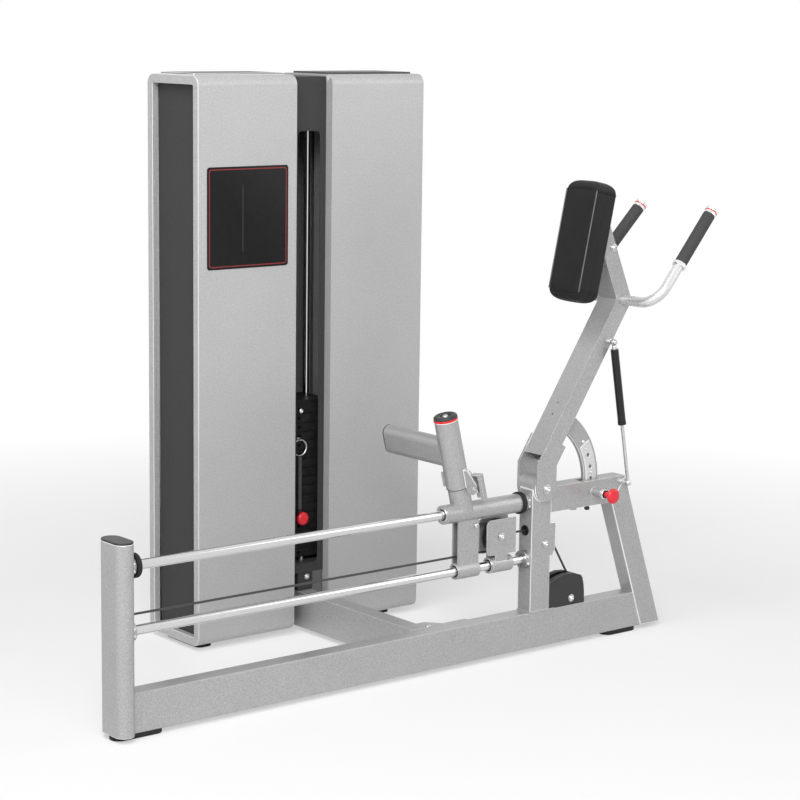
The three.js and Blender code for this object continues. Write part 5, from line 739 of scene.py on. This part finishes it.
def swivel_trim():
    """A dark domed cap with a silver button over a red and a pale ring, a washer below, and a tab."""
    axis = joint_axis("foot_bar_swivel")
    foot = joint_place("foot_bar_swivel")
    top = foot + axis * SWIVEL_TOP
    sideways = (-X * 0.5 + Y).normalized()
    sideways = (sideways - axis * sideways.dot(axis)).normalized()
    seat = foot + axis * TAB_UP + sideways * TAB_OUT - sideways.cross(axis) * TAB_ASIDE
    plate("swivel_tab", seat, 0.018, 0.041, 0.003, 0.004, SILVER, "foot_bar", sideways, axis)
    collar("swivel_washer", 0.0306, 0.0317, 0.0012, foot + axis * SWIVEL_SEAM, axis, RUBBER, "carriage")
    under = top - axis * PALE_RING_HEIGHT
    collar("swivel_pale_ring", 0.0285, 0.0317, PALE_RING_HEIGHT, under, axis, PALE, "foot_bar")
    collar("swivel_red_ring", 0.0285, 0.0319, 0.0052, top, axis, RED_RING, "foot_bar")
    skirt = [(0.0284, -0.012), (0.0284, 0.0052), (0.0314, 0.0053), (0.0314, 0.0086)]
    dome = [(0.0304, 0.0108), (0.0282, 0.0124), (0.0252, 0.0131), (0.0215, 0.0127), (0.0145, 0.0118)]
    well = [(0.0135, 0.011), (0.0128, 0.0088), (0.0075, 0.0086)]
    cap = skirt + dome + well
    turned("swivel_dome", cap, top, axis, CAP_BLACK, "foot_bar", replaces=["swivel_cap"], sharp=50)
    button = [(0.0082, 0.0084), (0.0082, 0.0108), (0.0072, 0.0122), (0.005, 0.0132), (0.0022, 0.0136)]
    turned("swivel_button", button, top, axis, BRIGHT, "foot_bar", sharp=60)


# Arm, handles and grips
def leaning(degrees):
    """The ways up and back of a piece that leans back by that angle."""
    angle = math.radians(degrees)
    return Vector((math.sin(angle), 0, math.cos(angle))), Vector((math.cos(angle), 0, -math.sin(angle)))


ARM_UP, ARM_BACK = leaning(33.1)
HANDLE_UP, HANDLE_AHEAD = 0.561, 0.03875
HANDLE_PLACE = joint_place("arm_tilt") + ARM_UP * HANDLE_UP - ARM_BACK * HANDLE_AHEAD
HANDLE_RISE = math.radians(47.1)
HANDLE_TOE_IN = math.radians(3.54)
HANDLE_LENGTH = 0.333
HANDLE_HALF_WIDTH = 0.1558
HANDLE_BEND = 0.055
HANDLE_RADIUS = 0.014
GRIP_RADIUS = 0.0172
GRIP_LENGTH = 0.171
TIP_LENGTH = 0.02
COLLAR_DROP = 0.0112
HOLE_CIRCLE = 0.193
PAD_SCREW = Vector((-0.0459, -0.035, 0.1444))


def grip_way(side):
    """The direction that one arm of the handle runs in."""
    level = math.cos(HANDLE_TOE_IN)
    inward = -side * math.sin(HANDLE_TOE_IN)
    return Vector((math.cos(HANDLE_RISE) * level, inward, math.sin(HANDLE_RISE) * level))


def on_grip(side, from_tip):
    """A point on the middle line of that arm, measured back from its tip."""
    corner = HANDLE_PLACE + Y * side * HANDLE_HALF_WIDTH
    return corner + grip_way(side) * (HANDLE_LENGTH - from_tip)


def handles():
    """One bent tube through the arm, with a sleeve, a collar and a capped end on each side."""
    def bend(side):
        sideways, upwards = Y * side, grip_way(side)
        turn = sideways.angle(upwards)
        start = HANDLE_PLACE + sideways * (HANDLE_HALF_WIDTH - HANDLE_BEND * math.tan(turn / 2))
        inward = (upwards - sideways * upwards.dot(sideways)).normalized()
        points = arc(start + inward * HANDLE_BEND, -inward, sideways, HANDLE_BEND, 0, turn, 20)
        return points + straight(points[-1], on_grip(side, 0.004), 4)[1:]

    route = list(reversed(bend(1))) + bend(-1)
    swept("handle_tube", route, HANDLE_RADIUS, BRIGHT_PAINT, "arm", sides=32, replaces=["handle_bar"])
    for side, name in SIDES:
        way = grip_way(side)
        root = on_grip(side, TIP_LENGTH + GRIP_LENGTH + 0.0003)
        bore = HANDLE_RADIUS + 0.0002
        grip = [(bore, 0), (0.0162, 0), (0.0171, 0.0012), (GRIP_RADIUS, 0.003)]
        grip += [(out, GRIP_LENGTH - up) for out, up in reversed(grip)]
        node = f"grip_{name}"
        turned(f"grip_sleeve_{name}", grip, root, way, GRIP, "arm", hollow=True, replaces=[node], sharp=60)
        ring = [(bore, 0), (0.0182, 0), (0.0197, 0.0014)]
        ring += [(0.0197, 0.0094), (0.0185, 0.0108), (bore, 0.0108)]
        foot = root - way * COLLAR_DROP
        turned(f"grip_collar_{name}", ring, foot, way, POLISHED, "arm", hollow=True)
        end = on_grip(side, TIP_LENGTH)
        band = [(0.004, 0.0002), (0.0166, 0.0002), (0.0173, 0.001), (0.0173, 0.0078)]
        groove = [(0.0163, 0.0088), (0.0163, 0.0108)]
        flare = [(0.0176, 0.0114), (0.0185, 0.0142), (0.019, 0.018), (0.0187, 0.0196)]
        hollow = [(0.0172, 0.0199), (0.0158, 0.0192), (0.0146, 0.0165), (0.006, 0.0162)]
        turned(f"grip_tip_{name}", band + groove + flare + hollow, end, way, POLISHED, "arm")
        collar(f"grip_ring_{name}", 0.0162, 0.0181, 0.0032, end + way * 0.0082, way, RED_RING, "arm")


def quadrant_screws():
    """Small screws at the ends of the quadrant's wear strip and above it."""
    screws = ((33.6, 0.006, 0.0062), (27, 0.008, 0.0036), (5.6, 0.008, 0.0036))
    for index, (turn, depth, size) in enumerate(screws):
        angle = math.radians(turn)
        out = X * math.cos(angle) + Z * math.sin(angle)
        spot = joint_place("arm_tilt") + out * HOLE_CIRCLE - Y * depth
        screw(f"quadrant_screw_{index}", spot, -Y, size, "arm")
    screw("pad_plate_screw", HANDLE_PLACE + PAD_SCREW, -Y, 0.0082, "arm", washer=0.0112)


# Chest pad
PAD_UP, PAD_BACK = leaning(12.3)
PAD_PLACE = HANDLE_PLACE + Vector((-0.1665, 0, 0.1704))
PAD_WIDTH = 0.122
PAD_DEPTH = 0.078
PAD_HALF = 0.134
PAD_DOME = 0.03
PAD_EDGE = 0.006
PAD_SEAM = 0.036
PAD_VOXEL = 0.0045
PAD_SWELL = 0.004
PAD_ARCH = 0.007
EDGE_HOLD, END_HOLD = 0.008, 0.004
STUFFING_PRESSURE, STUFFING_FRAMES = 4, 20
END_SEAM_DEPTH, END_SEAM_SPREAD = 0.0016, 0.0028
SIDE_SEAM_DEPTH, SIDE_SEAM_SPREAD = 0.0011, 0.002


def on_pad(across, up, back):
    return PAD_PLACE + Y * across + PAD_UP * up + PAD_BACK * back


def arch(across):
    """How far the seam of the front panel rises at the middle of each end."""
    share = min(1, abs(across) / (PAD_WIDTH / 2))
    return PAD_ARCH * (1 - share * share)


def pad_block():
    """The pad before it is stuffed: a rounded box with low domes at both ends."""
    mesh = bmesh.new()
    levels = []
    for step in range(9):
        share = math.sin(step / 8 * math.pi / 2 * 0.94)
        levels.append((PAD_HALF + PAD_DOME * share, math.sqrt(1 - share * share) ** 0.55))
    heights = [(-up, size) for up, size in reversed(levels)] + levels
    rings = []
    for up, size in heights:
        ring = []
        for across, back in rounded(PAD_WIDTH - 0.002, PAD_DEPTH - 0.002, PAD_EDGE):
            ring.append(mesh.verts.new((across * size, up, back * size + PAD_DEPTH / 2)))
        rings.append(ring)
    skin(mesh, rings)
    return mesh


def stuff(made):
    """Swells the panels under slight pressure while their seams hold, as a stuffed cushion does."""
    group = made.vertex_groups.new(name="seams")
    for vertex in made.data.vertices:
        across, up, back = vertex.co
        at_side = abs(across) > PAD_WIDTH / 2 - EDGE_HOLD
        on_edge = at_side and min(back, PAD_DEPTH - back) < EDGE_HOLD
        on_end = abs(abs(up) - PAD_HALF) < END_HOLD
        on_back = back > PAD_DEPTH - END_HOLD
        if on_edge or on_end or on_back:
            group.add([vertex.index], 1.0, "REPLACE")
    cloth = made.modifiers.new("stuffing", "CLOTH")
    cloth.settings.use_pressure = True
    cloth.settings.uniform_pressure_force = STUFFING_PRESSURE
    cloth.settings.vertex_group_mass = "seams"
    cloth.settings.effector_weights.gravity = 0
    for number in range(1, STUFFING_FRAMES + 1):
        SCENE.frame_set(number)
    swollen = made.evaluated_get(bpy.context.evaluated_depsgraph_get()).data
    moves = [after.co - before.co for before, after in zip(made.data.vertices, swollen.vertices)]
    made.modifiers.remove(cloth)
    for vertex, move in zip(made.data.vertices, moves):
        vertex.co += move * min(1, PAD_SWELL / max(move.length, 1e-9))
    SCENE.frame_set(1)


def shape_seams(data):
    """Draws the sewn lines in: round both ends and along the middle of the sides."""
    for vertex in data.vertices:
        across, up, back = vertex.co
        seam = PAD_HALF + arch(across) * max(0, 1 - back / PAD_DEPTH * 2)
        off_end = abs(abs(up) - seam) / END_SEAM_SPREAD
        off_side = abs(back - PAD_SEAM) / SIDE_SEAM_SPREAD
        axis = Vector((0, up, PAD_DEPTH / 2))
        if back < PAD_DEPTH - END_HOLD:
            pull = END_SEAM_DEPTH * math.exp(-off_end * off_end)
            vertex.co += (axis - vertex.co).normalized() * pull
        if abs(across) > PAD_WIDTH / 2 - PAD_EDGE and abs(up) < PAD_HALF:
            vertex.co.x -= math.copysign(SIDE_SEAM_DEPTH * math.exp(-off_side * off_side), across)


def chest_pad():
    """The vinyl pad: remeshed, stuffed, subdivided and seamed, with a welt along each sewn edge."""
    block = bpy.data.meshes.new("chest_cushion")
    shape = pad_block()
    bmesh.ops.recalc_face_normals(shape, faces=shape.faces)
    shape.to_mesh(block)
    shape.free()
    made = placed("chest_cushion", block)
    remesh = made.modifiers.new("remesh", "REMESH")
    remesh.mode = "VOXEL"
    remesh.voxel_size = PAD_VOXEL
    made.data = settled(made)
    stuff(made)
    made.modifiers.new("finer", "SUBSURF").levels = 1
    made.data = settled(made)
    shape_seams(made.data)
    made.data.transform(Matrix((Y, PAD_UP, PAD_BACK)).transposed().to_4x4())
    made.data.transform(Matrix.Translation(PAD_PLACE))
    made.data.materials.append(VINYL)
    smooth(made.data)
    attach(made, "arm")
    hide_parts("chest_pad")

    half = PAD_WIDTH / 2
    # The front-edge welts are real piping, painted lighter than the vinyl as a painted highlight along
    # them.
    for side, name in SIDES:
        ends = [on_pad(side * (half - 0.0026), up, 0.0024) for up in (-PAD_HALF - 0.002, PAD_HALF + 0.002)]
        swept(f"pad_welt_{name}", straight(*ends, 40), 0.0018, WELT_PAINTED_HIGHLIGHT, "arm", sides=10)
    for sign, name in ((-1, "bottom"), (1, "top")):
        loop = []
        for across, back in finer(rounded(PAD_WIDTH - 0.003, PAD_DEPTH - 0.0034, PAD_EDGE), 0.004):
            rise = arch(across) * max(0, -back / PAD_DEPTH * 2)
            loop.append(on_pad(across, sign * (PAD_HALF + rise), back + PAD_DEPTH / 2))
        swept(f"pad_welt_{name}", loop, 0.0015, VINYL, "arm", sides=8, loop=True)


def settled(made):
    """The object's mesh with its modifiers applied, which are then taken off."""
    data = bpy.data.meshes.new_from_object(made.evaluated_get(bpy.context.evaluated_depsgraph_get()))
    made.modifiers.clear()
    return data


# Weight stack and tower trim
HEAD_SCREW_X, HEAD_SCREW_Z = 0.9439, 0.614
RING_X, RING_Z, RING_RADIUS = 0.9345, 0.513, 0.0222
RING_PROUD = 0.0085
SELECTOR_KNOB_LENGTH = 0.015
COIL_PITCH = 0.0032


def stack_trim():
    """A screw in the head plate, the selector's knob and the sleeved tether that keeps it."""
    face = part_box("stack_lifted")[0].y
    screw("head_plate_screw", (HEAD_SCREW_X, face, HEAD_SCREW_Z), -Y, 0.0078, "stack")
    low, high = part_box("selector_pin")
    radius = (high.z - low.z) / 2
    x, z = (low.x + high.x) / 2, (low.z + high.z) / 2
    rear = Vector((x, face, z))
    shape = [(0.0045, -(high.y - face)), (0.0045, -0.001)]
    neck = face - low.y - SELECTOR_KNOB_LENGTH
    shape += knob_profile(radius, SELECTOR_KNOB_LENGTH, 0.0075, neck)
    turned("selector_knob", shape, rear, -Y, RED, "selector", replaces=["selector_pin"], sharp=60)

    middle = Vector((RING_X, face - RING_PROUD, RING_Z))
    steps = 64
    # The bright ring is thicker on its +X side, so that it shows a painted highlight crescent there.
    thick = [0.0011 + 0.0021 * max(0, math.cos(math.tau * step / steps)) for step in range(steps)]
    loop = arc(middle, X, Z, RING_RADIUS, 0, math.tau, steps)[:-1]
    swept("tether_ring", loop, thick, BRIGHT, "stack", loop=True)
    lug = [(0.0065, 0), (0.0065, 0.0045), (0.0045, 0.0062), (0.003, 0.0115)]
    turned("tether_lug", lug, (middle.x, face, middle.z + RING_RADIUS), -Y, ZINC, "stack")
    high_end, low_end = middle.z - RING_RADIUS - 0.002, z + 0.026
    turns = int((high_end - low_end) / COIL_PITCH)
    coil = [(0.0035, 0)]
    for index in range(turns):
        wave = ((0.0045, 0.05), (0.006, 0.3), (0.006, 0.7))
        coil += [(out, COIL_PITCH * (index + share)) for out, share in wave]
    coil += [(0.0045, COIL_PITCH * turns), (0.003, COIL_PITCH * turns + 0.002)]
    sleeve_foot = (middle.x, middle.y, low_end)
    turned("tether_sleeve", coil, sleeve_foot, Z, TETHER, "stack", steps=20, sharp=50)
    clip = [(0.004, 0), (0.0058, 0.002), (0.0058, 0.011), (0.004, 0.013)]
    turned("tether_clip", clip, (middle.x, middle.y, low_end - 0.012), Z, BLACK, "stack", steps=24)


SLOT_WIDTH = 0.081
SLOT_LOW, SLOT_HIGH = 0.186, 1.389
COVER_FRONT = 0.5268
STACK_POST = (0.953, 0.5705, 0.1885)
PEDESTAL_SCREW_X, PEDESTAL_SCREW_Z = 0.9425, 0.1505


def slot_trim():
    """A thin rounded trim round the slot, the steel post under the stack and the pedestal's screw."""
    middle = sum(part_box("centre_cover"), Vector()) / 2
    centre = Vector((middle.x, COVER_FRONT, (SLOT_LOW + SLOT_HIGH) / 2))
    height = SLOT_HIGH - SLOT_LOW
    frame_line("slot_trim", centre, SLOT_WIDTH - 0.002, height - 0.002, 0.014, 0.004, 0.0012, CHARCOAL)
    base_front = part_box("stack_base")[0].y
    post = [(0.0078, 0), (0.0078, 0.004), (0.0062, 0.0046), (0.0062, 0.0108)]
    turned("stack_post", post, STACK_POST, Z, BRIGHT, "frame")
    place = (PEDESTAL_SCREW_X, base_front, PEDESTAL_SCREW_Z)
    screw("pedestal_screw", place, -Y, 0.0058, "frame", washer=0.0078)


PLACARD_LEFT, PLACARD_RIGHT = 0.5896, 0.8505
PLACARD_LOW, PLACARD_HIGH = 1.0304, 1.2995


def plate(name, centre, width, height, corner, depth, material, body="frame", across=X, up=Z):
    """A thin plate with round corners, centred on its place and facing along across x up."""
    mesh = bmesh.new()
    outward = across.cross(up)
    outline = rounded(width, height, corner)
    rings = []
    for shrink, out in ((0, 0), (0, depth - 0.0003), (0.0003, depth)):
        wide, high = 1 - 2 * shrink / width, 1 - 2 * shrink / height
        spots = [centre + across * a * wide + up * b * high + outward * out for a, b in outline]
        rings.append([mesh.verts.new(spot) for spot in spots])
    skin(mesh, rings)
    return piece(name, mesh, material, body)


def frame_line(name, centre, width, height, corner, thick, depth, material):
    """A thin raised line round a rectangle with round corners."""
    mesh = bmesh.new()
    inner = rounded(width - thick, height - thick, corner)
    outer = rounded(width + thick, height + thick, corner + thick)
    rings = []
    for outline, out in ((outer, 0), (outer, depth), (inner, depth), (inner, 0)):
        rings.append([mesh.verts.new((centre.x + a, centre.y - out, centre.z + b)) for a, b in outline])
    skin(mesh, rings, loop=True)
    return piece(name, mesh, material, "frame")


def placard():
    """A plain black panel with a thin red line round it and a divider, fixed to the left shroud."""
    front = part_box("left_shroud")[0].y
    width, height = PLACARD_RIGHT - PLACARD_LEFT, PLACARD_HIGH - PLACARD_LOW
    centre = Vector(((PLACARD_LEFT + PLACARD_RIGHT) / 2, front, (PLACARD_LOW + PLACARD_HIGH) / 2))
    plate("placard", centre, width, height, 0.008, 0.0012, PLACARD)
    face = centre - Y * 0.0012
    frame_line("placard_line", face, width - 0.014, height - 0.014, 0.005, 0.003, 0.0003, RED_LINE)
    divide = face - X * 0.0168 - Z * 0.002
    plate("placard_divider", divide, 0.0022, height * 0.66, 0.001, 0.0003, DIVIDER)


# Weld bead
WELD_HEIGHT = 0.1126
UPRIGHT_HALF_WIDTH = 0.025


def bead(name, corners, body, radius=0.002):
    """A rippled bead along a closed line of corners."""
    route = []
    for start, end in zip(corners, corners[1:] + corners[:1]):
        steps = max(2, int((end - start).length / 0.0025))
        route += straight(start, end, steps)[:-1]
    radii = [radius * (0.9 + 0.1 * math.sin(index * 1.9)) for index in range(len(route))]
    swept(name, route, radii, SILVER, body, sides=8, loop=True)


def foot_weld():
    """A bead round the foot of the upright."""
    low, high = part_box("upright")
    half = UPRIGHT_HALF_WIDTH
    ring = ((low.x, -half), (high.x, -half), (high.x, half), (low.x, half))
    bead("upright_weld", [Vector((x, y, WELD_HEIGHT)) for x, y in ring], "frame")


cables()
small_bolts()
axle_screws()
pivot()
pull_pin()
gas_spring()
sleeve_rims()
swivel_trim()
handles()
quadrant_screws()
chest_pad()
stack_trim()
slot_trim()
placard()
foot_weld()


# Studio
WHITE = (1, 1, 1, 1)
FLOOR_SIZE = 60
FLOOR_CENTRE = (0.9, 0.2, 0)
NEAR_FLOOR, FAR_FLOOR = 1.3, 3.4
NEAR_SHARE, FAR_SHARE = 0.48, 1.0
WORLD_STRENGTH = 0.26
MIDDLE = (0.9, 0.2, 0.5)


def seen_rays(tree):
    """One for what the camera sees, directly, mirrored or through glass, and zero for other light."""
    path = tree.nodes.new("ShaderNodeLightPath")
    seen = path.outputs["Is Camera Ray"]
    for other in ("Is Glossy Ray", "Is Transmission Ray"):
        either = tree.nodes.new("ShaderNodeMath")
        either.operation = "MAXIMUM"
        tree.links.new(seen, either.inputs[0])
        tree.links.new(path.outputs[other], either.inputs[1])
        seen = either.outputs[0]
    return seen


def studio_floor():
    """A pale floor that keeps the shadow near the machine and fades to white far from it."""
    bpy.ops.mesh.primitive_plane_add(size=FLOOR_SIZE, location=(1, 2, -0.0005))
    floor = bpy.context.object
    floor.name = "studio_floor"
    n = Nodes("studio_floor")
    n.finish(n.ramp(n.noise(0.6), (0.3, grey(0.79)), (0.7, grey(0.81))), 0.7)
    n.place = n.node("ShaderNodeNewGeometry").outputs["Position"]
    away = n.node("ShaderNodeVectorMath", {0: n.place, 1: FLOOR_CENTRE}, operation="DISTANCE")
    glowing = n.span(away.outputs["Value"], NEAR_SHARE, FAR_SHARE, NEAR_FLOOR, FAR_FLOOR)
    share = n.node("ShaderNodeMath", {0: seen_rays(n.tree), 1: glowing}, operation="MULTIPLY").outputs[0]
    glow = n.node("ShaderNodeEmission", {"Color": WHITE, "Strength": 1.0})
    blended = n.node("ShaderNodeMixShader", {0: share})
    n.tree.links.new(n.shader.outputs[0], blended.inputs[1])
    n.tree.links.new(glow.outputs[0], blended.inputs[2])
    n.tree.links.new(blended.outputs[0], n.tree.nodes["Material Output"].inputs[0])
    floor.data.materials.append(n.material)


def studio_world():
    """A soft world for light on surfaces, and plain white wherever the world itself is seen."""
    world = bpy.data.worlds.new("studio")
    SCENE.world = world
    world.use_nodes = True
    tree = world.node_tree
    soft, white = tree.nodes["Background"], tree.nodes.new("ShaderNodeBackground")
    for light, strength in ((soft, WORLD_STRENGTH), (white, 1.0)):
        light.inputs["Color"].default_value = WHITE
        light.inputs["Strength"].default_value = strength
    blend = tree.nodes.new("ShaderNodeMixShader")
    tree.links.new(seen_rays(tree), blend.inputs[0])
    tree.links.new(soft.outputs[0], blend.inputs[1])
    tree.links.new(white.outputs[0], blend.inputs[2])
    tree.links.new(blend.outputs[0], tree.nodes["World Output"].inputs[0])


def lamp(name, place, target, size, power):
    """A square lamp of that size, turned to its target."""
    data = bpy.data.lights.new(name, "AREA")
    data.shape = "RECTANGLE"
    data.size = data.size_y = size
    data.energy = power
    light = placed(name, data)
    light.location = place
    light.rotation_euler = (Vector(target) - Vector(place)).to_track_quat("-Z", "Y").to_euler()


studio_floor()
studio_world()
lamp("key", (-1.2, -4.6, 3.0), MIDDLE, 3.0, 88)
lamp("corner", (-2.8, -3.7, 4.3), MIDDLE, 2.2, 185)
lamp("fill", (4.2, -2.4, 2.6), (0.9, 0.2, 0.6), 2.5, 30)
lamp("overhead", (-1.6, -0.6, 4.9), (1.1, 0.1, 0.6), 1.8, 110)
lamp("side", (-4.2, -1.6, 1.6), (0.6, 0.1, 0.6), 2.0, 30)
SCENE.view_settings.view_transform = "Standard"
